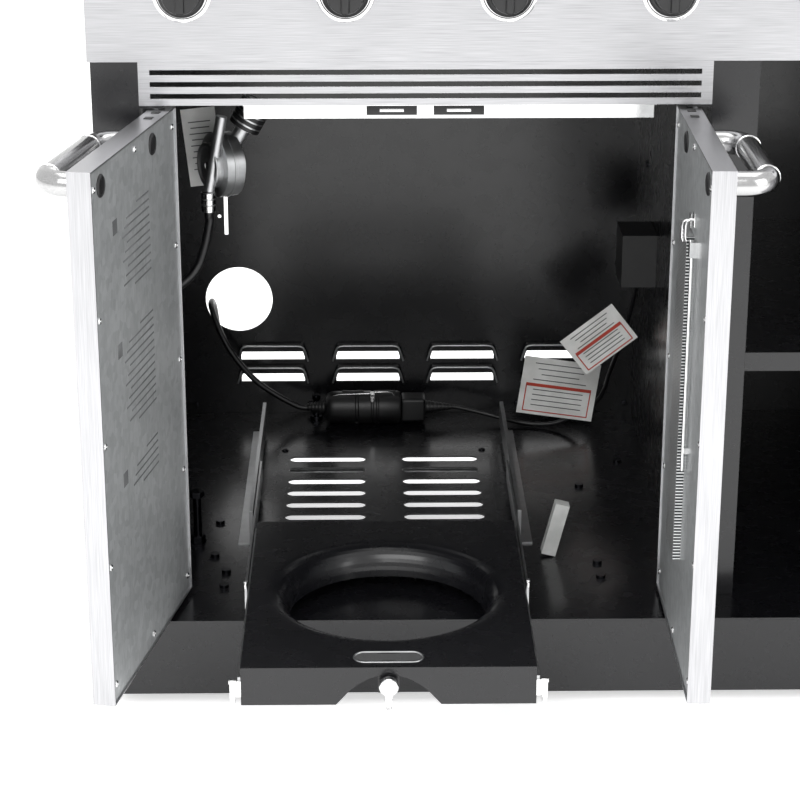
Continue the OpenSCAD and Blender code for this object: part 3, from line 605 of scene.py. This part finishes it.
def coil_points():
    """The put-away length: outer and inner turn on the ground, inner and outer turn on top."""
    out = []
    steps = 16
    for i in range(int(COIL_TURNS * steps) + 1):
        t = i / steps
        radius = COIL_OUT
        radius = eased(radius, COIL_IN, t, 0.78, 0.98)
        radius = eased(radius, COIL_OUT, t, 2.3, 2.5) if t > 2.3 else radius
        height = eased(COIL_LOW, COIL_HIGH, t, 1.54, 1.74)
        angle = math.pi * (1 - 2 * t)
        out.append(at(COIL[0] + radius * math.cos(angle), COIL[1] + radius * math.sin(angle), height))
    return out


class GRILL_OT_cords(bpy.types.Operator):
    """Mains lead with its coil, inner cord and gas hose"""

    bl_idname = "grill.cords"
    bl_label = "Cords and hose"

    def execute(self, context):
        sizes = context.scene.grill_cords
        plug = (-204, 575, 128)      # end face of the coupling's socket
        route = [
            (plug[0] - 129, 575, 128), (plug[0] - 145, 575, 131), (-400, 578, 163), (-440, 587, 210),
            (-461, 603, 255), (-465, 622, 266), (-464, 666, 246), (-460, 700, 180), (-456, 720, 100),
            (-452, 740, 36), (-448, 768, 10), (-442, 806, 5),
        ]
        way = thinned([at(*p) for p in route], 2) + [at(-441, 836, 4.4)]
        tail = [at(COIL[0] + x, COIL[1] + y, z) for x, y, z in
                ((22, 50, 10), (44, 48, 8), (66, 47, 8.6), (88, 47, 11.5), (110, 47, 14))]
        way = way + coil_points() + tail
        lead = cord_curve("mains_lead_cord", way, sizes.lead)
        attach(lead, "cart")
        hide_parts("mains_lead")

        route = [
            (plug[0] + 70, 575, 128), (plug[0] + 84, 575, 126), (-80, 571, 117), (-40, 557, 111),
            (10, 545, 115), (64, 537, 150), (76, 513, 195), (90, 475, 265), (96, 442, 320),
            (97, 430, 343), (97, 430, 355),
        ]
        way = thinned([at(*p) for p in route], 2)
        inner = cord_curve("inner_cord_line", way, sizes.inner)
        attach(inner, "cart")
        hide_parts("inner_cord")

        x, y, z = -430, 154, 570     # the regulator's outlet, at the height of its body
        wall_x, wall_y, pipe_y, pipe_z, bend = -529, 72, 65, 795.5, 40
        loop = [math.radians(a) for a in range(0, 181, 45)]
        route = [(x, y, z - 50), (x, y, z - 56)]
        for a in loop:
            k = (1 - math.cos(a)) / 2
            route.append((x + k * (wall_x - x), y + k * (wall_y - y), z - 65 - 70 * math.sin(a)))
        route += [(wall_x, wall_y - 1, z + 20), (wall_x, wall_y - 4, pipe_z - 115)]
        for a in (180, 150, 120, 90):
            a = math.radians(a)
            route.append((wall_x + bend + bend * math.cos(a), pipe_y, pipe_z - bend + bend * math.sin(a)))
        route.append((-484, pipe_y, pipe_z))
        way = thinned([at(*p) for p in route], 2)
        hose = cord_curve("gas_hose_line", way, sizes.hose)
        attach(hose, "cart")
        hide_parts("gas_hose")
        return {"FINISHED"}


# ---- finishes of the frame's own parts ----

NODE_FINISH = {
    "enamel": "base_skirt floor_panel vent_plate side_left side_right divider back_panel shelf tray",
    "steel_x": "louver_panel control_panel hood side_deck side_lid",
    "steel_z": "door_left door_right door_bay2",
    "zinc_sheet": "liner_left liner_right grease_tray flame_tamers",
    "tube": "handle_left handle_right handle_bay2",
    "tube_x": "hood_handle",
    "zinc": "slides_outer slides_middle slides_inner caster_plates fork_left fork_right manifold",
    "black_zinc": "floor_bolts",
    "chrome": "thumbscrew lighter magnet_bracket",
    "perforated": "door_pocket",
    "diecast": "regulator",
    "plastic": "knob_1 knob_2 knob_3 knob_4 knob_5 igniter_button control_box coupling mains_plug",
    "rubber": "gas_hose inner_cord mains_lead",
    "tyre": "wheel_left wheel_right rear_wheels",
    "iron": "grates side_grate cook_box",
    "burner": "burners",
    "brass": "side_burner",
    "card": "tags",
    "pale": "prop_block",
}


class GRILL_OT_finishes(bpy.types.Operator):
    """Gives every part of the frame its real finish"""

    bl_idname = "grill.finishes"
    bl_label = "Finishes"

    def execute(self, context):
        for finish, names in NODE_FINISH.items():
            for name in names.split():
                coat(NODES[name], finish)
        return {"FINISHED"}


# ---- mains coupling and plug ----

FACE_BACK = (-90, 0, 0)      # turns a piece's up to face the back
FACE_FRONT = (90, 0, 0)      # to face the front
FACE_RIGHT = (0, 90, 0)
FACE_LEFT = (0, -90, 0)


def ribbed(r0, r1, length, ribs, depth=0.8):
    """Radius and height pairs of a tapered, ribbed strain relief."""
    rings = []
    for i in range(ribs):
        a, b = i / ribs, (i + 0.55) / ribs
        ra, rb = r0 + (r1 - r0) * a, r0 + (r1 - r0) * b
        rings += [(ra, a * length), (rb, b * length - 0.2),
                  (rb - depth, b * length), (rb - depth, (i + 1) / ribs * length - 0.2)]
    return rings + [(r1, length)]


class GRILL_OT_coupling(bpy.types.Operator):
    """Socket and plug that join the mains lead to the inner cord, and the plug at the lead's end"""

    bl_idname = "grill.coupling"
    bl_label = "Coupling and plug"

    def execute(self, context):
        socket = ribbed(5.2, 11, 24, 5) + [
            (15, 25), (19.5, 28), (21.8, 33), (22.2, 38), (22.2, 66), (20.6, 67), (20.6, 70), (22.6, 71),
            (22.6, 88), (21.4, 89), (21.4, 91), (22.6, 92), (22.6, 95), (21.4, 96), (21.4, 98), (22.6, 99),
            (22.6, 125), (21, 128.5), (14, 129),
        ]
        body = place(lathe(socket, 64), at(-333, 575, 128), FACE_RIGHT)
        plug = place(block((34, 33, 33), 4, 4), at(-187, 575, 128))
        relief = ribbed(9.5, 4.2, 36, 7, 0.9)
        tail = place(lathe(relief, 32), at(-170.5, 575, 128), FACE_RIGHT)
        lugs = [place(block((30, 3, 4), 0.8), at(-270 + 22 * i, 575, 128 + 22.3 * s))
                for i in (0, 2) for s in (-1, 1)]
        done(join([body] + lugs), "coupling_socket", "plastic", "cart")
        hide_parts("coupling")
        done(join([plug, tail]), "coupling_plug", "plastic", "cart")

        lever = wire([at(*p) for p in (
            (-306, 568, 139), (-302, 567, 146), (-290, 566, 149.5), (-246, 564, 151.5), (-240, 564, 153.5),
            (-222, 564, 154), (-216, 565, 152), (-212, 566, 146))], 0.9)
        stop = place(block((7, 8, 14), 1.2), at(-243, 562, 147))
        done(join([lever, stop]), "coupling_latch", "chrome", "cart")

        end = at(-280, 909, 14)
        relief = ribbed(4.8, 8, 26, 5)
        cone = place(lathe(relief, 32), end, FACE_RIGHT)
        grip = place(block((34, 28, 25), 5, 4), end + Vector((43, 0, 0)) * MM)
        collar = place(block((6, 24, 21), 2.5, 3), end + Vector((57.5, 0, 0)) * MM)
        done(join([cone, grip, collar]), "mains_plug_body", "plastic", "cart")
        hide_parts("mains_plug")
        pins = [place(block((20, 2, 6.3), 0.6), end + Vector((68, s * 7, 0)) * MM) for s in (-1, 1)]
        done(join(pins), "mains_plug_pins", "brass", "cart")
        return {"FINISHED"}


# ---- doors ----

WIDE_LEFT, WIDE_RIGHT = -486, -187      # edges of the left door when shut
DOOR_MIDDLE = -371                       # adding this mirrors the left door's places to the right door
LINER_Y = 22
GRIP_Z = 651
DOOR_LOW, DOOR_HIGH = 111, 672


def across(x, door):
    """A left door's place, or its mirror on the right door."""
    return x if door == "left" else DOOR_MIDDLE - x


def scatter(piece, spots):
    """Copies a piece made at the origin to each spot, as one piece."""
    made = [twin(piece, spot / MM) for spot in spots]
    begin()
    bpy.data.objects.remove(piece)
    return join(made)


def screw_head(radius=3.6, height=1.8):
    """A domed screw head with a drive recess, facing up."""
    return lathe([(radius, 0), (radius, height * 0.45), (radius * 0.8, height * 0.85),
                  (radius * 0.35, height), (radius * 0.3, height * 0.6), (radius * 0.05, height * 0.55)], 20)


PLUG_CAP = [(11.5, 0), (11.5, 1.0), (10.2, 2.2), (8.8, 2.5)]
TUBE_RING = [(12.3, -1.6), (13.3, -1.1), (13.3, 1.1), (12.3, 1.6)]
TUBE_Y = -37.5                           # middle of a handle's tube


class DoorSettings(bpy.types.PropertyGroup):
    """Fittings on the doors"""

    screws: IntProperty(
        name="Screws a side", description="Screws down each side of a door liner", default=5, min=2, max=9,
    )
    ruled: IntProperty(
        name="Ruled lines", description="Plain printed lines in the upper block", default=11, min=0, max=14,
    )


class GRILL_OT_doors(bpy.types.Operator):
    """Plugs, screws, handle rings and plain ruled print on the doors"""

    bl_idname = "grill.doors"
    bl_label = "Door fittings"

    def execute(self, context):
        options = context.scene.grill_doors
        for door in ("left", "right"):
            body = DOORS[door][2]
            # black plugs over the handle's screws
            cap = place(lathe(PLUG_CAP + [(8.4, 1.9), (0.4, 1.7)], 40), (0, 0, 0), FACE_BACK)
            caps = scatter(cap, [at(across(x, door), LINER_Y, GRIP_Z) for x in (-398.5, -221.5)])
            done(swing(caps, door), f"handle_plugs_{door}", "plastic", body)
            # screws round the liner
            head = place(screw_head(), (0, 0, 0), FACE_BACK)
            step = (DOOR_HIGH - DOOR_LOW - 40) / (options.screws - 1)
            spots = [at(across(x, door), LINER_Y, DOOR_LOW + 20 + step * i)
                     for x in (WIDE_LEFT + 12, WIDE_RIGHT - 12) for i in range(options.screws)]
            middle = across((WIDE_LEFT + WIDE_RIGHT) / 2, door)
            spots += [at(middle, LINER_Y, z) for z in (DOOR_LOW + 12, DOOR_HIGH - 12)]
            done(swing(scatter(head, spots), door), f"liner_screws_{door}", "chrome", body)
            # rings where the handle's tube meets its elbows
            ring = place(lathe(TUBE_RING, 48), (0, 0, 0), FACE_RIGHT)
            rings = scatter(ring, [at(across(x, door), TUBE_Y, GRIP_Z) for x in (-373.5, -246.5)])
            done(swing(rings, door), f"handle_rings_{door}", "chrome", body)
            # square caps in the top edge
            cover = block((9, 9, 1.2), 0.5)
            covers = scatter(cover, [at(across(WIDE_LEFT + x, door), 12, DOOR_HIGH + 0.2) for x in (34, 62)])
            done(swing(covers, door), f"edge_caps_{door}", "plastic", body)

        # plain ruled print on the left liner
        bars = []
        blocks = ((606, options.ruled, 96), (478, 13, 104), (340, 5, 92))
        for top, count, width in blocks:
            for i in range(count):
                length = width * (0.62 if i == count - 1 else 1.0 - 0.08 * ((i * 5) % 3))
                if i == 0:
                    length = width * 0.45
                bar = block((length, 0.24, 2.0), 0.08, 1)
                bars.append(place(bar, at(-372 + length / 2 - 8, LINER_Y + 0.06, top - 8.2 * i)))
        for top in (606, 478, 340):
            bars.append(place(block((15, 0.24, 15), 0.08, 1), at(-262, LINER_Y + 0.06, top - 7)))
        done(swing(join(bars), "left"), "liner_ruling", "ink", "left_door")

        # hooks above the perforated pocket of the right door
        hooks = []
        for x, z in ((-62, 592), (-34, 584)):
            bend = ((0, 0), (5, 0), (8, -2), (9, -6), (9, -18), (8, -22), (5, -23), (3, -20))
            hooks.append(wire([at(x, LINER_Y + a, z + b) for a, b in bend], 1.3))
            hooks.append(place(block((12, 1.6, 14), 0.5), at(x, LINER_Y + 0.9, z)))
        done(swing(join(hooks), "right"), "door_hooks", "chrome", "right_door")

        # the narrow door: plugs and rings
        cap = place(lathe(PLUG_CAP + [(0.4, 2.2)], 40), (0, 0, 0), FACE_BACK)
        caps = scatter(cap, [at(x, LINER_Y, 642) for x in (398.5, 205.5)])
        done(swing(caps, "narrow"), "handle_plugs_narrow", "plastic", "narrow_door")
        ring = place(lathe(TUBE_RING, 48), (0, 0, 0), FACE_RIGHT)
        rings = scatter(ring, [at(x, TUBE_Y, 642) for x in (373.5, 230.5)])
        done(swing(rings, "narrow"), "handle_rings_narrow", "chrome", "narrow_door")
        return {"FINISHED"}


# ---- cylinder tray ----

TRAY_X, TRAY_Y, TRAY_TOP = -228.5, -280, 155


class GRILL_OT_tray(bpy.types.Operator):
    """Finger slot rim, latch, slide clips and thumbscrew of the cylinder tray"""

    bl_idname = "grill.tray"
    bl_label = "Tray fittings"

    def execute(self, context):
        rim = []
        for side in (1, -1):
            for i in range(13):
                a = math.radians(-90 + 15 * i)
                along, deep = 24 + 12 * math.cos(a), 12 * math.sin(a)
                rim.append(at(TRAY_X + side * along, TRAY_Y + 24 + side * deep, TRAY_TOP))
        done(wire(rim, 0.8, 4, closed=True), "finger_slot_rim", "zinc", "tray")
        catch = place(block((20, 9, 14), 1.5, 3), at(TRAY_X, TRAY_Y + 15.5, TRAY_TOP - 10))
        nose = place(block((14, 5, 6), 1.2, 3), at(TRAY_X, TRAY_Y + 20.5, TRAY_TOP - 6))
        done(join([catch, nose]), "tray_latch", "plastic", "tray")

        clips = []
        pin = [(2.6, 0), (2.6, 4), (1.8, 5), (1.8, 7), (0.4, 7.4)]
        for side in (-1, 1):
            x, y = TRAY_X + side * 159.5, TRAY_Y - 3.4
            clips.append(place(block((9, 1.4, 18), 0.4, 2), at(x - side * 4, TRAY_Y - 0.9, 132)))
            clips.append(place(block((6, 6, 21), 1.2, 3), at(x, y, 133)))
            clips.append(place(block((8, 4, 5), 1.0, 2), at(x, y, 141.5)))
            clips.append(place(lathe(pin, 20), at(x, y, 118)))
        done(join(clips), "slide_clips_front", "chrome", "tray")
        stops = []
        for side in (-1, 1):
            x, y = TRAY_X + side * 156.9, TRAY_Y + 219
            stops.append(place(block((3.4, 9, 7), 1.0, 2), at(x, y, 148.4)))
            stops.append(place(lathe([(3, 0), (3, 1.2), (2.2, 1.8), (0.3, 2)], 20), at(x, y, 151.8)))
        done(join(stops), "slide_stops", "chrome", "slide_mid")

        z = TRAY_TOP - 17
        disc = [(6, 0), (9.2, 0.6), (10, 1.6), (10, 7.6), (9.2, 8.8), (7.4, 9.2), (7.0, 8.2), (2.6, 8.0),
                (2.2, 9.4), (0.3, 9.7)]
        neck = [(3, -4), (3, 12), (2.2, 13), (0.3, 13.2)]
        blade = [(4.4, 0), (3.7, 5), (4.3, 6.2), (4.3, 7.6), (3.2, 9), (3.2, 13), (2.8, 13.6), (3.1, 14.4),
                 (2.6, 15.2), (2.9, 16), (2.4, 16.8), (2.5, 20), (0.3, 21)]
        head = place(lathe(disc, 40), at(TRAY_X, TRAY_Y - 4, z), FACE_FRONT)
        stem = place(lathe(neck, 24), at(TRAY_X, TRAY_Y - 1, z), FACE_BACK)
        shank = place(lathe(blade, 24), at(TRAY_X, TRAY_Y - 9.5, z - 9), (180, 0, 0))
        done(join([head, stem, shank]), "thumbscrew_turned", "chrome", "thumbscrew")
        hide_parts("thumbscrew")
        return {"FINISHED"}


# ---- things inside the cabinet ----


class GRILL_OT_cabinet(bpy.types.Operator):
    """Magnet catches, screws, painted highlight rims on the vent hoods and the regulator's fittings"""

    bl_idname = "grill.cabinet"
    bl_label = "Cabinet fittings"

    def execute(self, context):
        middle = -185.5
        plates = [place(block((54, 1.1, 10.4), 0.4), at(middle + s * 36, 25.3, 665)) for s in (-1, 1)]
        done(join(plates), "magnet_catches", "plastic", "cart")
        faces = [place(block((26, 0.5, 3.4), 0.2), at(middle + s * 36, 24.6, 665)) for s in (-1, 1)]
        done(join(faces), "magnet_faces", "chrome", "cart")

        # screws in the walls and round the vent plate
        heads = []
        for y, z in ((518, 485), (518, 326), (60, 560), (60, 250)):
            heads.append(place(screw_head(5, 3), at(118, y, z), FACE_LEFT))
        for x in (-489, -330, -185, -40, 110):
            heads.append(place(screw_head(4.4, 2.4), at(x, 616, 118), FACE_FRONT))
        for x in (-360, -97):
            for y in (172, 462):
                heads.append(place(screw_head(4.4, 2.4), at(x, y, 107)))
        stud = lathe([(8.5, 0), (8.5, 6), (4.2, 6.4), (4.2, 30), (5.6, 30.4), (5.6, 36), (0.4, 37.5)], 24)
        heads.append(place(stud, at(-321, 590, 105)))
        done(join(heads), "cabinet_screws", "black_zinc", "cart")

        # rolled rim round the front of each pressed vent hood, in light zinc on the black hood: a painted
        # highlight along the hood's edge
        highlight_rims = []
        for x in (-381, -249, -118, 13):
            for z in (152, 184):
                rim = [(-49, 0.5), (-44.5, 16), (-42.5, 20), (-39, 21.8), (-34, 22.4),
                       (34, 22.4), (39, 21.8), (42.5, 20), (44.5, 16), (49, 0.5)]
                highlight_rims.append(wire([at(x + a, 606.4, z + b) for a, b in rim], 1.5))
        done(join(highlight_rims), "vent_hood_painted_highlights", "zinc", "cart")

        # regulator: bead rings, vent, hand wheel and ferrule rings
        spot = at(-414, 176, 570)
        bead = lathe([(36.6, -2.2), (37.8, -1.4), (37.8, 1.4), (36.6, 2.2)], 64)
        rim = lathe([(26.2, 18), (27.2, 18.8), (26.4, 20.2), (23, 20.6), (21.5, 19), (21, 18.6), (9, 18.8),
                     (7.4, 20.4), (5.4, 20.4), (4.6, 18.9), (0.4, 18.8)], 64)
        faces = join([place(bead, (0, 0, 0), FACE_FRONT), place(rim, (0, 0, 0), FACE_FRONT)])
        done(place(faces, spot, (0, 0, -61)), "regulator_rings", "diecast", "cart")
        vent = lathe([(4.4, 18.9), (4.4, 19.8), (0.4, 19.9)], 24)
        vent = place(place(vent, (0, 0, 0), FACE_FRONT), spot, (0, 0, -61))
        done(vent, "regulator_vent", "plastic", "cart")
        rings = [(16, 49.5)]
        for i in range(5):
            rings += [(r, z + 6.6 * i) for r, z in ((18.6, 50.5), (18.6, 54.5), (17.6, 55.2), (17.6, 56.4))]
        done(place(lathe(rings + [(15, 84.5), (12, 84.6), (11.5, 80), (0.4, 79.8)], 40), spot, (0, 30, 0)),
             "regulator_handwheel", "plastic", "cart")
        crimp = [(6, -0.4), (8.3, 0), (8.6, 2), (8.6, 7), (7.4, 8), (8.6, 9), (8.6, 14), (7.4, 15), (8.6, 16),
                 (8.6, 22), (6.8, 24)]
        done(place(lathe(crimp, 32), at(-430, 154, 520)), "hose_ferrule", "chrome", "cart")
        return {"FINISHED"}


class GRILL_OT_tags(bpy.types.Operator):
    """Red bands and plain ruled lines on the hanging tags"""

    bl_idname = "grill.tags"
    bl_label = "Tag print"

    def execute(self, context):
        def bar(size, bevel, x, z, where, turn):
            flat = place(block(size, bevel, 1), (x * MM, -0.5 * MM, z * MM))
            return place(flat, at(*where), (0, turn, 0))

        red, grey = [], []
        for w, h, where, turn in ((104, 82, (10, 531, 169), 8), (84, 58, (53, 438, 270), -38)):
            for z, tall in ((h * 0.02, 4.5), (-h * 0.44, 1.6)):
                red.append(bar((w * 0.86, 0.3, tall), 0.1, 0, z, where, turn))
            for side in (-1, 1):
                red.append(bar((1.6, 0.3, h * 0.46), 0.1, side * w * 0.424, -h * 0.21, where, turn))
            for i in range(8):
                z = h * (0.40 - 0.095 * i) if i < 4 else h * (-0.06 - 0.09 * (i - 4))
                wide = w * (0.7 - 0.1 * (i % 3)) if i < 4 else w * 0.66
                grey.append(bar((wide, 0.26, 1.3), 0.08, 0, z, where, turn))
        other = []
        for i in range(9):
            other.append(bar((26 - 4 * (i % 2), 0.26, 1.2), 0.08, 0, 30 - 7 * i, (-440, 220, 580), -6))
        done(join(red), "tag_bands", "red", "cart")
        done(join(grey), "tag_lines", "ink", "cart")
        done(join(other), "regulator_tag_lines", "ink", "cart")
        return {"FINISHED"}


# ---- control panel ----

KNOB_X = (-440, -270, -100, 70, 353.5)
KNOB_Z = 795.5


class GRILL_OT_controls(bpy.types.Operator):
    """Knobs with their marks and bezels"""

    bl_idname = "grill.controls"
    bl_label = "Knobs"

    def execute(self, context):
        def shape():
            grip = lathe([(22, 0), (25, 0.8), (25, 5.5), (23.5, 7.5), (20.4, 8.6), (19.4, 12), (19.0, 24),
                          (18.0, 26.3), (15.5, 27.2), (0.4, 27.4)], 64)
            ridge = place(block((9, 36, 6.5), 2.2, 3), (0, 0, 28 * MM))
            return join([grip, ridge])

        for i, x in enumerate(KNOB_X):
            knob = place(shape(), at(x, -4.5, KNOB_Z), FACE_FRONT)
            done(knob, f"knob_body_{i + 1}", "plastic", f"knob_{i + 1}")
            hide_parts(f"knob_{i + 1}")
            mark = place(block((1.8, 14, 0.8), 0.3, 2), at(x, -36, KNOB_Z + 11), FACE_FRONT)
            done(mark, f"knob_mark_{i + 1}", "card", f"knob_{i + 1}")
        bezel = lathe([(31, 0), (31, 0.6), (29.8, 1.4), (27.4, 1.4), (26.6, 0.6), (0.4, 0.5)], 64)
        bezels = scatter(place(bezel, (0, 0, 0), FACE_FRONT), [at(x, -3, KNOB_Z) for x in KNOB_X])
        done(bezels, "knob_bezels", "chrome", "cart")
        return {"FINISHED"}


# ---- wheels ----

WHEEL_X, WHEEL_Z, CASTER_Y, REAR_Y = 460, 37.5, 37, 560


class GRILL_OT_wheels(bpy.types.Operator):
    """Caster wheels and rear wheels with tyre, rim and hub"""

    bl_idname = "grill.wheels"
    bl_label = "Wheels"

    def execute(self, context):
        tyre = [(16, -10), (26, -10.4), (29, -11.8), (33.5, -11.8), (36.4, -9.6), (37.5, -6),
                (37.5, 6), (36.4, 9.6), (33.5, 11.8), (29, 11.8), (26, 10.4), (16, 10)]
        hub = [(9, -11.9), (13, -11.9), (15, -10.6), (25.5, -9.2), (27, -10),
               (27, 10), (25.5, 9.2), (15, 10.6), (13, 11.9), (9, 11.9)]

        def wheel(x, y):
            tread = place(lathe(tyre, 64), at(x, y, WHEEL_Z), FACE_RIGHT)
            rim = place(lathe(hub, 48), at(x, y, WHEEL_Z), FACE_RIGHT)
            coat(tread, "tyre")
            coat(rim, "pale")
            return join([tread, rim])

        for side, x in (("left", -WHEEL_X), ("right", WHEEL_X)):
            done(wheel(x, CASTER_Y), f"caster_{side}_tyre", None, f"wheel_{side}")
            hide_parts(f"wheel_{side}")
        axle = place(lathe([(4, -485), (5, -484), (5, 484), (4, 485)], 24), at(0, REAR_Y, WHEEL_Z), FACE_RIGHT)
        coat(axle, "zinc")
        rear = join([axle, wheel(-WHEEL_X, REAR_Y), wheel(WHEEL_X, REAR_Y)])
        done(rear, "rear_wheels_turned", None, "rear_wheels")
        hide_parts("rear_wheels")
        return {"FINISHED"}


# ---- hood ----


class GRILL_OT_hood(bpy.types.Operator):
    """Thermometer and handle collars on the hood"""

    bl_idname = "grill.hood"
    bl_label = "Hood fittings"

    def execute(self, context):
        middle = -185
        gauge = at(middle, 70, 1010)
        case = lathe([(37, 0), (38, 1), (38, 5), (36.5, 7), (34, 7.4), (33, 5.6), (0.4, 5.4)], 72)
        done(place(case, gauge, FACE_FRONT), "thermometer_case", "chrome", "hood")
        dial = place(lathe([(32.8, 5.3), (32.8, 5.7), (0.4, 5.8)], 64), gauge, FACE_FRONT)
        done(dial, "thermometer_dial", "card", "hood")
        ticks = []
        for i in range(11):
            a = math.radians(225 - 27 * i)
            spot = (26 * MM * math.cos(a), 26 * MM * math.sin(a), 6 * MM)
            tick = place(block((6, 1.4, 0.5), 0.1, 1), spot, (0, 0, math.degrees(a)))
            ticks.append(place(tick, gauge, FACE_FRONT))
        hand = place(block((26, 1.8, 0.8), 0.3, 1), (-8 * MM, -8 * MM, 6.4 * MM), (0, 0, 45))
        pivot = lathe([(3, 5.8), (3, 7.4), (0.4, 7.6)], 20)
        ticks += [place(hand, gauge, FACE_FRONT), place(pivot, gauge, FACE_FRONT)]
        done(join(ticks), "thermometer_hand", "ink", "hood")
        collar = place(lathe([(15, 0), (15, 2), (13.5, 4), (11.2, 4.6)], 40), (0, 0, 0), FACE_FRONT)
        collars = scatter(collar, [at(middle + s * 259, 70, 931) for s in (-1, 1)])
        done(collars, "hood_handle_collars", "chrome", "hood")
        return {"FINISHED"}


class GRILL_PT_panel(bpy.types.Panel):
    """Sizes and steps of the grill"""

    bl_idname = "GRILL_PT_panel"
    bl_label = "Gas grill"
    bl_space_type = "VIEW_3D"
    bl_region_type = "UI"
    bl_category = "Grill"

    def draw(self, context):
        for group in ("grill_stage", "grill_cords", "grill_doors"):
            options = getattr(context.scene, group)
            for name in options.__annotations__:
                self.layout.prop(options, name)
        for step in STEPS:
            self.layout.operator(step.bl_idname)


STEPS = (
    GRILL_OT_stage, GRILL_OT_coupling, GRILL_OT_tags, GRILL_OT_cords, GRILL_OT_finishes, GRILL_OT_doors,
    GRILL_OT_tray, GRILL_OT_cabinet, GRILL_OT_controls, GRILL_OT_wheels, GRILL_OT_hood,
)
CLASSES = (StageSettings, CordSettings, DoorSettings, GRILL_PT_panel) + STEPS


def register():
    for made in CLASSES:
        bpy.utils.register_class(made)
    bpy.types.Scene.grill_stage = PointerProperty(type=StageSettings)
    bpy.types.Scene.grill_cords = PointerProperty(type=CordSettings)
    bpy.types.Scene.grill_doors = PointerProperty(type=DoorSettings)


def unregister():
    del bpy.types.Scene.grill_doors
    del bpy.types.Scene.grill_cords
    del bpy.types.Scene.grill_stage
    for made in reversed(CLASSES):
        bpy.utils.unregister_class(made)


def main():
    """Builds everything."""
    register()
    for step in STEPS:
        getattr(bpy.ops.grill, step.bl_idname.split(".")[1])()


if __name__ == "__main__":
    main()
